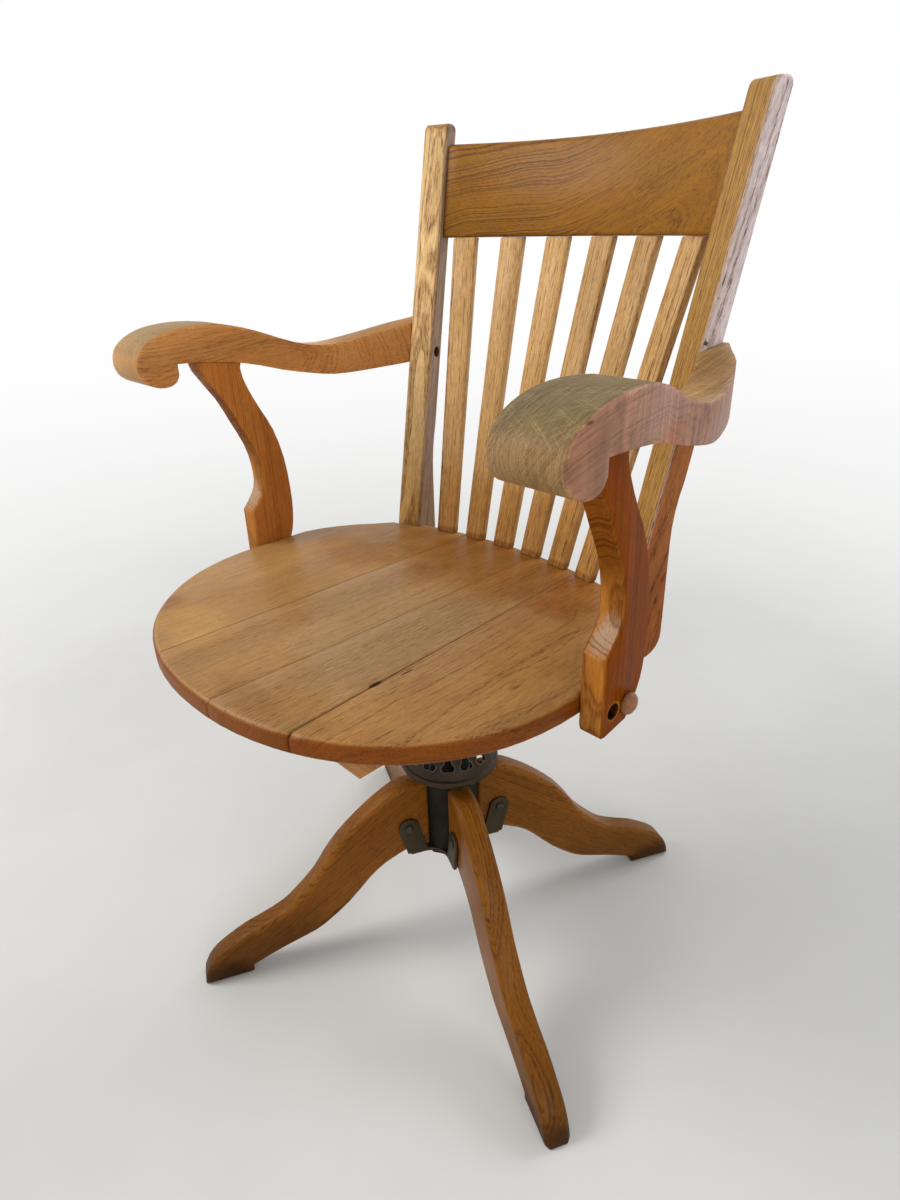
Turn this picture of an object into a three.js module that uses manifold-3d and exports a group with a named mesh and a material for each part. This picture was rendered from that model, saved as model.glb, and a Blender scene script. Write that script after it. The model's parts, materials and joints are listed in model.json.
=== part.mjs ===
// A wooden bankers swivel chair: a boarded seat, turned-in back posts with six slats, sawn arms, four sawn
// legs, and an iron screw and tilt mechanism. Millimetres, +Z up. The chair faces -Y, the floor is z = 0
// and the seat swivels about the Z axis.
import * as THREE from "three";
import { mergeVertices } from "three/addons/utils/BufferGeometryUtils.js";
import Module from "manifold-3d";

const wasm = await Module();
wasm.setup();

// Fits
const gap = 0.3; // between pieces that touch
const runningGap = 0.5; // between round pieces that turn or slide in each other
const overrun = 6; // how far a cutter passes the face that it cuts

// Seat
const seatHeight = 481;
const seatThickness = 21;
const seatHalfWidth = 243;
const seatFront = 297; // swivel axis to the front edge
const seatRear = 127; // swivel axis to the middle of the rear edge
const seatRearRadius = 525;
const seatShoulder = 80; // where the curved front half begins, in front of the axis
const seatSideEnd = 14; // where the straight side ends, in front of the axis
const seatRim = 4; // rounding of the rim
const seatSquareness = 2.15; // exponent of the front curve, 2 being an ellipse
const seatNotch = 7; // how far the seat reaches back between the posts before it curves in
const seatFlatOverhang = 5; // how far the flat at each post passes the post's outer corner
const seatSideShares = [
  [0.88, 0.238],
  [0.71, 0.436],
  [0.51, 0.62],
  [0.27, 0.782],
];
const jointLeft = -78; // the glued joints of the boards, right of the axis
const jointMiddle = 28;
const crackFront = 117; // the open joint, right of the axis at the front and rear edges
const crackRear = 89;
const crackWidth = 2.2;

// Back posts
const postThickness = 31;
const postTurn = THREE.MathUtils.degToRad(17.5); // how far the posts' fronts look inwards
const postSpread = 178.5; // axis to the outer front corner at the seat
const postSetback = 88.6;
const postRise = 449; // seat to the top
const postDrop = 71; // seat to the lower end
const postLean = 104.2; // how far the top lies behind the foot, along the post's own depth
const postDepth = 28;
const postTopDepth = 21;
const postRootDepth = 45; // below the arms
const postBendRise = 119; // seat to where the rear edge starts to lean
const postBendDrop = 62; // length of the curve below it
const postTopRound = 7;
const postHeelRound = 28;

// Crest rail and slats
const crestHeight = 97;
const crestDrop = 21; // top of the posts to the rail's top edge
const crestSag = 3; // how much lower the middle of its top edge is
const crestThickness = 22;
const crestRadius = 460; // plan radius of the front face
const crestSetback = 7; // behind the posts' front faces
const crestRound = 4;
const slatCount = 6;
const slatFootPitch = 42;
const slatTopPitch = 59;
const slatFootWidth = 26;
const slatTopWidth = 29.5;
const slatThickness = 11;
const slatInset = 13; // rear edge of the seat to a slat's front face
const slatRound = 2.5;

// Arms
const armNose = 187; // axis to the front of the arm
const armWidth = 60.5; // at the scroll
const armLap = 1.5; // how far the arm stands in over its support
const armDepth = 73; // lowest point of the underside to the highest of the top
const armRise = 187; // seat to the lowest point of the underside
const armRearInset = 3; // the arm's inner edge, behind the post's front corner
const armRearTuck = 14; // how far the arm's uncut end would pass into the post
// Along the arm from the nose to the post: inner edge, outer edge.
const armPlanShares = [
  [0, 0.02, 0.975],
  [0.02, 0, 1],
  [0.1, 0, 0.99],
  [0.22, 0, 0.93],
  [0.36, 0, 0.75],
  [0.44, -0.02, 0.62],
  [0.57, -0.1, 0.51],
  [0.66, -0.215, 0.42],
  [0.73, -0.38, 0.31],
  [0.82, -0.6, 0.12],
  [0.9, -0.85, -0.12],
  [0.955, -1.04, -0.42],
  [1, -1.22, -0.66],
];
// Along the arm and up from the lowest point of the underside: round the scroll and back along the top.
const armTopShares = [
  [0.124, 0.33],
  [0.113, 0.235],
  [0.09, 0.185],
  [0.06, 0.185],
  [0.032, 0.235],
  [0.011, 0.33],
  [0.001, 0.46],
  [0.004, 0.59],
  [0.018, 0.71],
  [0.046, 0.815],
  [0.086, 0.9],
  [0.135, 0.95],
  [0.205, 0.972],
  [0.3, 0.935],
  [0.4, 0.8],
  [0.48, 0.655],
  [0.575, 0.51],
  [0.665, 0.466],
  [0.755, 0.52],
  [0.84, 0.6],
  [0.91, 0.68],
  [1, 0.79],
];
// From the post back to the corner behind the scroll.
const armUnderShares = [
  [1, 0.135],
  [0.91, 0.075],
  [0.84, 0.04],
  [0.755, 0.01],
  [0.665, 0],
  [0.575, 0.07],
  [0.48, 0.175],
  [0.4, 0.29],
  [0.3, 0.4],
  [0.2, 0.46],
  [0.124, 0.48],
];

// Arm supports
const supportThickness = 24;
const supportFront = 80; // axis to the front of its shoulder
const supportWidth = 56; // shoulder to the rearmost point
const supportDrop = 33; // top of the seat to its lower end
const supportRound = 2;
const supportFrontShares = [
  [0.07, 0],
  [0, 0.1],
  [0, 0.29],
  [0.25, 0.358],
  [0.335, 0.416],
  [0.32, 0.494],
  [0.214, 0.591],
  [-0.036, 0.708],
  [-0.27, 0.813],
  [-0.68, 0.945],
  [-0.78, 1.03],
];
const supportRearShares = [
  [0.34, 1.03],
  [0.18, 0.942],
  [0.286, 0.852],
  [0.5, 0.755],
  [0.75, 0.65],
  [0.93, 0.51],
  [1, 0.358],
  [1, 0.241],
  [0.93, 0.148],
  [0.8, 0.086],
  [0.6, 0.02],
];
const supportScrewSetback = 14; // shoulder to the open screw hole
const supportBoreRadius = 7;
const plugSetback = 33; // shoulder to the plugged one
const supportScrewDrop = 10.5; // top of the seat to the screws
const supportScrewHold = 26; // their length in the seat
const plugRadius = 6;
const plugHeadRadius = 10;
const plugHeadHeight = 8;
const plugRimHeight = 2.5;
const plugDepth = 8;

// Legs
const legReach = 323;
const legHeight = 228;
const legThickness = 28;
const legRootHeight = 97; // height of its inner end
const legRootLength = 60; // axis to where the underside leaves the bottom plate
const legRound = 4;
const legHeading = THREE.MathUtils.degToRad(-25.4); // direction of the first leg from +X
const legTopShares = [
  [0.221, 0.985],
  [0.302, 0.912],
  [0.371, 0.833],
  [0.442, 0.737],
  [0.498, 0.636],
  [0.545, 0.535],
  [0.62, 0.425],
  [0.676, 0.36],
  [0.757, 0.307],
  [0.822, 0.272],
  [0.894, 0.214],
  [0.94, 0.168],
  [0.973, 0.113],
  [0.993, 0.052],
];
const legBottomShares = [
  [0.776, 0.066],
  [0.695, 0.11],
  [0.598, 0.154],
  [0.53, 0.197],
  [0.427, 0.311],
  [0.34, 0.443],
  [0.274, 0.518],
];
const legToeShare = 1;
const legHeelShares = [0.819, 0.04];

// Hub, bottom plate and sleeve
const hubRadius = 34;
const hubStand = 2; // top of the hub above the legs
const hubNeckRadius = 24;
const hubNeckLength = 14;
const sleeveWall = 4;
const sleeveFlange = 6; // beyond the sleeve
const sleeveFlangeThickness = 4;
const washerThickness = 3;
const plateThickness = 4;
const plateTip = 2; // from the end of a plate arm to where the leg's underside starts to fall
const plateHollow = 40; // corner of each hollow, along and across
const tabThickness = 3.5;
const tabWidth = 26;
const tabHeight = 50; // plate to the top of the tab
const tabOutset = 49; // axis to the tab's foot
const tabLean = 13; // how far its top leans outwards
const nutAcross = 66;
const nutThickness = 8;
const screwRadius = 2.3;
const screwHeadRadius = 5;
const screwHeadHeight = 2.6;
const tabScrewLength = 12;
const tabScrewDrop = 13; // top of the tab to its screw

// Screw spindle and handwheel
const spindleRadius = 14.3;
const spindleTail = 125; // floor to its lower end
const keyWidth = 5;
const keyDepth = 3;
const keyEnd = 67.7; // top of the spindle to the end of its keyway
const keyRoot = 1; // how far the key reaches into the sleeve's wall
const wheelRadius = 55; // to the middle of the rolled rim
const wheelRimRadius = 4.5;
const wheelNutRadius = 24;
const wheelHeight = 50; // from the thrust washer to the top of the nut
const wheelRimRise = 12; // from the thrust washer to the middle of the rim
const wheelWall = 3.5;
const wheelDomeRise = 31; // height of the pierced band
const wheelDomeInset = 22; // how far the band leans in
const wheelBulge = 3.5; // how far the middle of the band stands out and up
const wheelPanelShare = 0.22; // where the pierced panel starts, up the band
const trefoilCount = 14;
const trefoilRadius = 4.5;
const trefoilSpread = 3.8;

// Battens under the seat
const battenHalfLength = 148;
const battenDrop = 27; // underside of the seat to the batten's lower face
const battenCut = 9; // the arris cut off its lower edge
const battenFrontSetback = 62; // front edge of the seat to the front batten
const battenFrontWidth = 45;
const battenRearSetback = 27; // rear edge of the seat to the rear batten
const battenRearWidth = 40;

// Tilt iron
const pivotDrop = 45; // top of the seat to the tilt axis
const spindleStop = 16.3; // tilt axis to the top of the spindle
const pivotRadius = 6;
const barrelRadius = 11;
const barrelLength = 72;
const yokeBossRadius = 23;
const yokeBossHeight = 48; // from its lower face to the barrel's axis, less the barrel's radius
const yokeArmReach = 112;
const yokeArmRootWidth = 44;
const yokeArmTipWidth = 30;
const yokeArmDrop = 18; // tilt axis to the top of the arm
const yokeArmThickness = 10;
const yokeWebHeight = 14;
const yokeWebThickness = 8;
const ironThickness = 6;
const ironHalfWidth = 48;
const ironFront = 112;
const ironRear = 46;
const ironArmWidth = 26;
const ironArmEndX = 108;
const ironArmEndFront = 246;
const ironArmEndRear = 84;
const ironPadRadius = 16;
const cheekThickness = 7;
const cheekRadius = 15;
const cheekGap = 0.8; // between a cheek and the barrel
const stopOutset = 64; // axis to the stop lug
const stopWidth = 22;
const stopLength = 14;
const ironScrewFrontShare = 0.66; // along a front arm
const ironScrewRearShare = 0.3;
const ironScrewLength = 15;

// Tilt spring
const boltRadius = 5;
const boltOutset = 95;
const boltDrop = 6; // tilt axis to the bolt's pin
const boltEyeRadius = 7;
const boltEyeWidth = 14;
const boltLength = 116; // pivot to its lower end
const boltPinRadius = 3;
const lugThickness = 6;
const slotHalfLength = 8;
const slotHalfWidth = 6.4;
const springLength = 62;
const springRadius = 12; // to the middle of the wire
const wireRadius = 2;
const springTurns = 5.5;
const wireSides = 5;
const cupRadius = 17;
const cupThickness = 5;
const knobRadius = 19;
const knobHeight = 17;
const knobLobes = 8;
const knobLobeDepthShare = 0.1;
const knobRound = 0.6;

// Screws of the posts and arms
const armScrewRise = 205; // seat to the screw
const armScrewSetback = 14; // behind the post's front face
const armScrewLength = 42;
const armScrewSink = 9;
const counterboreRadius = 6.2;
const postScrewDrop = 10.5; // top of the seat to the post's screw
const postScrewLength = 62;

// Facets
const curveSteps = 10;
const arcSteps = 4;
const roundSteps = 1;
const splineSteps = 2;
const crestSteps = 14;
const slatSteps = 4;
const roundSides = 16;
const ironSides = 32;
const smallSides = 8;
const trefoilSides = 6;
const turnSamples = 48; // points in a turn of the spring, where its gap is measured

// Levels that follow from these sizes
const seatUnderside = seatHeight - seatThickness;
const postTop = seatHeight + postRise;
const postBottom = seatHeight - postDrop;
const postBend = seatHeight + postBendRise;
const crestBottom = postTop - crestDrop - crestHeight;
const armScrewHeight = seatHeight + armScrewRise;
const pivotHeight = seatHeight - pivotDrop;
const boltPivot = pivotHeight - boltDrop;
const yokeArmTop = pivotHeight - yokeArmDrop;
const spindleTop = pivotHeight - spindleStop;
const keyTop = spindleTop - keyEnd;
const battenFront = { from: battenFrontSetback - seatFront, to: battenFrontSetback + battenFrontWidth - seatFront };
const battenRear = { from: seatRear - battenRearSetback - battenRearWidth, to: seatRear - battenRearSetback };
const hubTop = legHeight + hubStand;
const plateTop = legHeight - legRootHeight;
const washerBottom = hubTop + gap + sleeveFlangeThickness + gap;
const wheelBottom = washerBottom + washerThickness + gap;
const ironTop = seatUnderside - gap;
const ironUnderside = ironTop - ironThickness;
const yokeArmUnderside = yokeArmTop - yokeArmThickness;
const springTop = yokeArmUnderside - gap;
const springBottom = springTop - springLength;
const cupTop = springBottom - gap;
const knobTop = cupTop - cupThickness - gap;
const sleeveRadius = spindleRadius + runningGap + sleeveWall;
const supportScrewReach = supportThickness - plugDepth + supportScrewHold;

// Where the right post stands: its front outer corner, and its depth and width directions.
const postForward = new THREE.Vector2(-Math.sin(postTurn), -Math.cos(postTurn));
const postInward = new THREE.Vector2(-Math.cos(postTurn), Math.sin(postTurn));
const postOuterCorner = new THREE.Vector2(postSpread, postSetback);
const postInnerCorner = postOuterCorner.clone().addScaledVector(postInward, postThickness);

// Materials
const wood = (color, roughness = 0.45) => new THREE.MeshStandardMaterial({ color, roughness, metalness: 0 });
const iron = (color) => new THREE.MeshStandardMaterial({ color, roughness: 0.6, metalness: 0.85 });
const oak = { seat: 0xa9713d, back: 0xc08a4e, arm: 0x9a6a3d, leg: 0x94582c, plug: 0x8a5a30, hidden: 0xb98b55 };
const metal = { casting: 0x3b342f, screw: 0x4a433c, bright: 0x6c6760 };

// Solids
function solidOf(geometry) {
  const bare = geometry.clone();
  bare.deleteAttribute("normal");
  bare.deleteAttribute("uv");
  const merged = mergeVertices(bare);
  const vertProperties = merged.attributes.position.array;
  return new wasm.Manifold(new wasm.Mesh({ numProp: 3, vertProperties, triVerts: merged.index.array }));
}

function geometryOf(solid) {
  const { vertProperties, triVerts } = solid.getMesh();
  const geometry = new THREE.BufferGeometry();
  geometry.setAttribute("position", new THREE.BufferAttribute(vertProperties, 3));
  geometry.setIndex(new THREE.BufferAttribute(triVerts, 1));
  geometry.computeVertexNormals();
  return geometry;
}

const joined = (geometries) => geometryOf(geometries.map(solidOf).reduce((whole, piece) => whole.add(piece)));

function cut(geometry, cutters) {
  const start = solidOf(geometry);
  return geometryOf(cutters.map(solidOf).reduce((whole, cutter) => whole.subtract(cutter), start));
}

const common = (a, b) => geometryOf(solidOf(a).intersect(solidOf(b)));

function named(name, geometry, material) {
  const mesh = new THREE.Mesh(geometry, material);
  mesh.name = name;
  return mesh;
}

// Shapes
function outline(points) {
  const shape = new THREE.Shape();
  shape.setFromPoints(points.map(([x, y]) => new THREE.Vector2(x, y)));
  return shape;
}

// A plan outline made into a level plate whose underside lies at the given height.
function plate(shape, thickness, level, round = 0) {
  const bevel = { bevelEnabled: round > 0, bevelThickness: round, bevelSize: round, bevelOffset: -round };
  const depth = thickness - 2 * round;
  const options = { depth, curveSegments: arcSteps, bevelSegments: roundSteps, ...bevel };
  return new THREE.ExtrudeGeometry(shape, options).translate(0, 0, level + round);
}

// A side outline, drawn in depth and height, made into an upright board from x = 0 to its thickness.
function board(shape, thickness, round = 0) {
  const toUpright = new THREE.Matrix4().makeBasis(
    new THREE.Vector3(0, 1, 0),
    new THREE.Vector3(0, 0, 1),
    new THREE.Vector3(1, 0, 0),
  );
  return plate(shape, thickness, 0, round).applyMatrix4(toUpright);
}

const box = (width, depth, height) => new THREE.BoxGeometry(width, depth, height);

// A round bar along Z from the given level.
function rod(radius, length, level, sides = roundSides) {
  const bar = new THREE.CylinderGeometry(radius, radius, length, sides);
  return bar.rotateX(Math.PI / 2).translate(0, 0, level + length / 2);
}

// A round bar along X from x = 0.
const crossRod = (radius, length, sides = roundSides) => rod(radius, length, 0, sides).rotateY(Math.PI / 2);

// A profile of radius and height turned about Z.
function turned(points, sides = ironSides) {
  const profile = points.map(([radius, height]) => new THREE.Vector2(radius, height));
  return new THREE.LatheGeometry(profile, sides).rotateX(Math.PI / 2);
}

// A closed skin over rings of points that each run anticlockwise about the direction of travel.
function loft(rings) {
  const sides = rings[0].length;
  const last = (rings.length - 1) * sides;
  const index = [];
  for (let ring = 0; ring < rings.length - 1; ring++) {
    for (let side = 0; side < sides; side++) {
      const a = ring * sides + side;
      const b = ring * sides + ((side + 1) % sides);
      index.push(a, b, b + sides, a, b + sides, a + sides);
    }
  }
  for (let side = 1; side < sides - 1; side++) {
    index.push(0, side + 1, side);
    index.push(last, last + side, last + side + 1);
  }
  const geometry = new THREE.BufferGeometry();
  geometry.setAttribute("position", new THREE.Float32BufferAttribute(rings.flat(2), 3));
  return geometry.setIndex(index);
}

// A rounded rectangle, anticlockwise, as points across and up from its middle.
function roundedRing(width, height, round) {
  const radius = Math.min(round, width / 3, height / 3);
  const corners = [
    [1, 1],
    [-1, 1],
    [-1, -1],
    [1, -1],
  ];
  return corners.flatMap(([sideways, upwards], quarter) =>
    [0, 1, 2].map((step) => {
      const turn = (quarter + step / 2) * (Math.PI / 2);
      const across = sideways * (width / 2 - radius) + radius * Math.cos(turn);
      const up = upwards * (height / 2 - radius) + radius * Math.sin(turn);
      return [across, up];
    }),
  );
}

// Carries a shape on from its last point through the given points in a smooth line.
function through(shape, points) {
  const line = [shape.currentPoint.clone(), ...points.map(([x, y]) => new THREE.Vector2(x, y))];
  const [, ...run] = new THREE.SplineCurve(line).getPoints(splineSteps * points.length);
  run.forEach(({ x, y }) => shape.lineTo(x, y));
}

// The right post's own frame: x across it from its inner face, y behind its front face at the seat.
const postFrame = new THREE.Matrix4()
  .makeTranslation(postInnerCorner.x, postInnerCorner.y, 0)
  .multiply(new THREE.Matrix4().makeRotationZ(-postTurn));
const postFront = (height) => (postLean * Math.max(height - seatHeight, 0)) / (postTop - seatHeight);

function seatRearEdge(x) {
  return seatRear - seatRearRadius + Math.sqrt(seatRearRadius ** 2 - x ** 2);
}

// Seat
function seatHalfOutline() {
  const half = [];
  for (let step = 0; step <= 2 * curveSteps; step++) {
    const turn = (Math.PI / 4 / curveSteps) * step;
    const across = seatHalfWidth * Math.sin(turn) ** (2 / seatSquareness);
    const ahead = (seatFront - seatShoulder) * Math.cos(turn) ** (2 / seatSquareness);
    half.push([across, -seatShoulder - ahead]);
  }
  const corner = postOuterCorner.clone().addScaledVector(postInward, -seatFlatOverhang);
  corner.addScaledVector(postForward, gap);
  half.push([seatHalfWidth, -seatSideEnd]);
  for (const [out, back] of seatSideShares) {
    const across = corner.x + (seatHalfWidth - corner.x) * out;
    half.push([across, -seatSideEnd + (corner.y + seatSideEnd) * back]);
  }
  half.push([corner.x, corner.y]);
  const inner = postInnerCorner.clone().addScaledVector(postInward, gap);
  half.push(inner.clone().addScaledVector(postForward, gap).toArray());
  const notch = inner.clone().addScaledVector(postForward, -seatNotch);
  half.push(notch.toArray());
  for (let step = curveSteps - 1; step >= 0; step--) {
    const across = (notch.x * step) / curveSteps;
    half.push([across, seatRearEdge(across)]);
  }
  return half;
}

function seatOutline() {
  const right = seatHalfOutline();
  const left = right.slice(1, -1).reverse();
  return outline([...right, ...left.map(([x, y]) => [-x, y])]);
}

const seatJoints = [
  { front: jointLeft, rear: jointLeft, width: gap },
  { front: jointMiddle, rear: jointMiddle, width: gap },
  { front: crackFront, rear: crackRear, width: crackWidth },
];

// The plan of one board between two joints, past the seat's edges.
function seatBoardPlan(left, right) {
  const far = seatHalfWidth + overrun;
  const front = -seatFront - overrun;
  const rear = seatRear + overrun;
  const [a, b] = left ? [left.front + left.width / 2, left.rear + gap / 2] : [-far, -far];
  const [c, d] = right ? [right.front - right.width / 2, right.rear - gap / 2] : [far, far];
  return outline([
    [a, front],
    [c, front],
    [d, rear],
    [b, rear],
  ]);
}

function addSeat(group) {
  const whole = cut(plate(seatOutline(), seatThickness, seatUnderside, seatRim), [
    ...ironScrewPlaces().map((place) => rod(screwRadius + gap, ironScrewLength, ironTop).translate(...place)),
    ...[1, -1].flatMap((side) => sideScrewCutters().map((cutter) => mirroredIf(side < 0, cutter))),
  ]);
  for (let place = 0; place <= seatJoints.length; place++) {
    const plan = seatBoardPlan(seatJoints[place - 1], seatJoints[place]);
    const slice = plate(plan, seatThickness + 2 * overrun, seatUnderside - overrun);
    group.add(named(`seat_board_${place + 1}`, common(whole, slice), wood(oak.seat)));
  }
}

// The holes that the right side's screws leave in the seat.
function sideScrewCutters() {
  const level = seatHeight - supportScrewDrop;
  const fromSupport = [supportScrewSetback, plugSetback].map((setback) =>
    crossRod(screwRadius + gap, supportScrewReach + 2 * gap, smallSides).translate(
      seatHalfWidth + supportThickness - plugDepth - supportScrewReach,
      setback - supportFront,
      level,
    ),
  );
  return [...fromSupport, postScrewBar(screwRadius + gap, gap)];
}

function mirroredIf(wanted, geometry) {
  if (!wanted) return geometry;
  const mirrored = geometry.index ? geometry.toNonIndexed() : geometry.clone();
  mirrored.scale(-1, 1, 1);
  const position = mirrored.attributes.position;
  for (let i = 0; i < position.count; i += 3) {
    const [x, y, z] = [position.getX(i), position.getY(i), position.getZ(i)];
    position.setXYZ(i, position.getX(i + 1), position.getY(i + 1), position.getZ(i + 1));
    position.setXYZ(i + 1, x, y, z);
  }
  return mirrored;
}

// Back posts
function postOutline() {
  const topFront = postFront(postTop);
  const bendDepth = postFront(postBend) + postDepth;
  const shape = new THREE.Shape();
  shape.moveTo(0, postBottom);
  shape.lineTo(postRootDepth - postHeelRound, postBottom);
  const heelLevel = postBottom + postHeelRound;
  shape.absarc(postRootDepth - postHeelRound, heelLevel, postHeelRound, -Math.PI / 2, 0, false);
  shape.lineTo(postRootDepth, postBend - postBendDrop);
  shape.quadraticCurveTo(postRootDepth, postBend - postBendDrop / 2, bendDepth, postBend);
  const topRear = topFront + postTopDepth;
  shape.lineTo(topRear, postTop - postTopRound);
  shape.quadraticCurveTo(topRear, postTop, topRear - postTopRound, postTop);
  shape.lineTo(topFront + postTopRound, postTop);
  shape.quadraticCurveTo(topFront, postTop, postFront(postTop - postTopRound), postTop - postTopRound);
  shape.lineTo(0, seatHeight);
  return shape;
}

// The screw that holds the arm, in the post's frame: from the sunk head on the inner face outwards.
function armScrewBar(radius, length, start) {
  const depth = postFront(armScrewHeight) + armScrewSetback;
  return crossRod(radius, length, smallSides).translate(start, depth, armScrewHeight);
}

// The screw that holds the post to the seat, from the post's rear edge forwards.
function postScrewBar(radius, spare) {
  const bar = rod(radius, postScrewLength + spare, 0, smallSides).rotateX(Math.PI / 2);
  const level = seatHeight - postScrewDrop;
  return bar.translate(postThickness / 2, postRootDepth - screwHeadHeight, level).applyMatrix4(postFrame);
}

function post() {
  const inPost = new THREE.Matrix4().copy(postFrame).invert();
  const boltLevel = seatHeight - postScrewDrop;
  const headHole = rod(screwHeadRadius + gap, overrun + screwHeadHeight + gap, 0, smallSides);
  headHole.rotateX(-Math.PI / 2).translate(postThickness / 2, postRootDepth - screwHeadHeight - gap, boltLevel);
  return cut(board(postOutline(), postThickness, slatRound), [
    armScrewBar(counterboreRadius, overrun + armScrewSink, -overrun),
    armScrewBar(screwRadius + gap, postThickness + overrun, 0),
    postScrewBar(screwRadius + gap, gap).applyMatrix4(inPost),
    headHole,
  ]);
}

function woodScrew(length) {
  return turned(
    [
      [0, -length],
      [screwRadius, -length + screwRadius],
      [screwRadius, 0],
      [screwHeadRadius, 0],
      [screwHeadRadius, screwHeadHeight / 2],
      [screwHeadRadius / 2, screwHeadHeight],
      [0, screwHeadHeight],
    ],
    smallSides,
  );
}

function postScrew() {
  const screw = woodScrew(postScrewLength - gap).rotateX(-Math.PI / 2);
  const behind = postRootDepth - screwHeadHeight;
  return screw.translate(postThickness / 2, behind, seatHeight - postScrewDrop).applyMatrix4(postFrame);
}

function armScrew() {
  const screw = woodScrew(armScrewLength).rotateY(-Math.PI / 2);
  const depth = postFront(armScrewHeight) + armScrewSetback;
  return screw.translate(armScrewSink - gap, depth, armScrewHeight).applyMatrix4(postFrame);
}

// Crest rail
const crestInner = postInnerCorner.clone().addScaledVector(postForward, -postFront(crestBottom) - crestSetback);
const crestMiddle = crestInner.y - Math.sqrt(crestRadius ** 2 - crestInner.x ** 2);
const leanBack = (postLean / (postTop - seatHeight)) * Math.cos(postTurn);

// Depth of the crest's front face at a height.
const crestFrontAt = (x, z) => crestMiddle + Math.sqrt(crestRadius ** 2 - x ** 2) + leanBack * (z - crestBottom);

function crestRail() {
  const reach = Math.asin((crestInner.x + postThickness / 2) / crestRadius);
  const rings = [];
  for (let step = 0; step <= crestSteps; step++) {
    const turn = reach * ((2 * step) / crestSteps - 1);
    const height = crestHeight - crestSag * Math.cos((turn / reach) * (Math.PI / 2));
    const ring = roundedRing(crestThickness, height, crestRound).map(([across, up]) => {
      const radius = crestRadius + crestThickness / 2 + across;
      const z = crestBottom + height / 2 + up;
      return [radius * Math.sin(turn), crestMiddle + radius * Math.cos(turn) + leanBack * (z - crestBottom), z];
    });
    rings.push(ring);
  }
  return cut(loft(rings), [postSlab(1), postSlab(-1)]);
}

// The space that a post takes up, with a clearance on both faces.
function postSlab(side) {
  const slab = box(postThickness + 2 * gap, postTop, postTop);
  slab.translate(postThickness / 2, 0, postTop / 2).applyMatrix4(postFrame);
  return mirroredIf(side < 0, slab);
}

// Slats
function slat(place) {
  const fromMiddle = place - (slatCount - 1) / 2;
  const foot = { x: fromMiddle * slatFootPitch, z: seatHeight + gap };
  foot.turn = Math.asin(foot.x / seatRearRadius);
  foot.y = seatRearEdge(foot.x) - slatInset;
  const top = { x: fromMiddle * slatTopPitch, z: crestBottom - gap };
  top.turn = Math.asin(top.x / crestRadius);
  top.y = crestFrontAt(top.x, crestBottom);
  const rings = [];
  for (let step = 0; step <= slatSteps; step++) {
    const t = step / slatSteps;
    const between = (key) => foot[key] + (top[key] - foot[key]) * t;
    const width = slatFootWidth + (slatTopWidth - slatFootWidth) * t;
    const [cos, sin] = [Math.cos(between("turn")), Math.sin(between("turn"))];
    const ring = roundedRing(width, slatThickness, slatRound).map(([across, deep]) => {
      const back = deep + slatThickness / 2;
      return [between("x") + across * cos + back * sin, between("y") - across * sin + back * cos, between("z")];
    });
    rings.push(ring);
  }
  return loft(rings);
}

// Arms: sawn to their side outline, and then to their plan
function arm() {
  const middle = seatHeight + armRise + armDepth / 2;
  const meet = postOuterCorner.clone().addScaledVector(postForward, -postFront(middle) - armRearInset);
  const rear = postOuterCorner.clone().addScaledVector(postForward, -postFront(middle) - postDepth);
  const length = armNose + rear.y;
  const innerFront = seatHalfWidth + gap - armLap;
  const drawIn = innerFront - (meet.x - armRearTuck);
  const lowest = seatHeight + armRise;
  const innerScale = drawIn / -armPlanShares[armPlanShares.length - 1][1];
  const edge = (column) =>
    armPlanShares.map((row) => {
      const across = row[column] < 0 ? row[column] * innerScale : row[column] * armWidth;
      return [innerFront + across, row[0] * length - armNose];
    });
  const inSide = (shares) => shares.map(([along, up]) => [along * length - armNose, lowest + armDepth * up]);
  const sawn = (runs) => {
    const shape = new THREE.Shape();
    runs.forEach(([start, ...rest], run) => {
      if (run) shape.lineTo(...start);
      else shape.moveTo(...start);
      through(shape, rest);
    });
    return shape;
  };
  const fromPlan = plate(sawn([edge(1), edge(2).reverse()]), armDepth + 2 * overrun, lowest - overrun);
  const fromSide = board(sawn([inSide(armTopShares), inSide(armUnderShares)]), drawIn + armWidth + 2 * overrun);
  const whole = common(fromPlan, fromSide.translate(innerFront - drawIn - overrun, 0, 0));
  const screwHole = armScrewBar(screwRadius + gap, armScrewSink + armScrewLength, 0).applyMatrix4(postFrame);
  return cut(whole, [postSlab(1), screwHole]);
}

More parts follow.
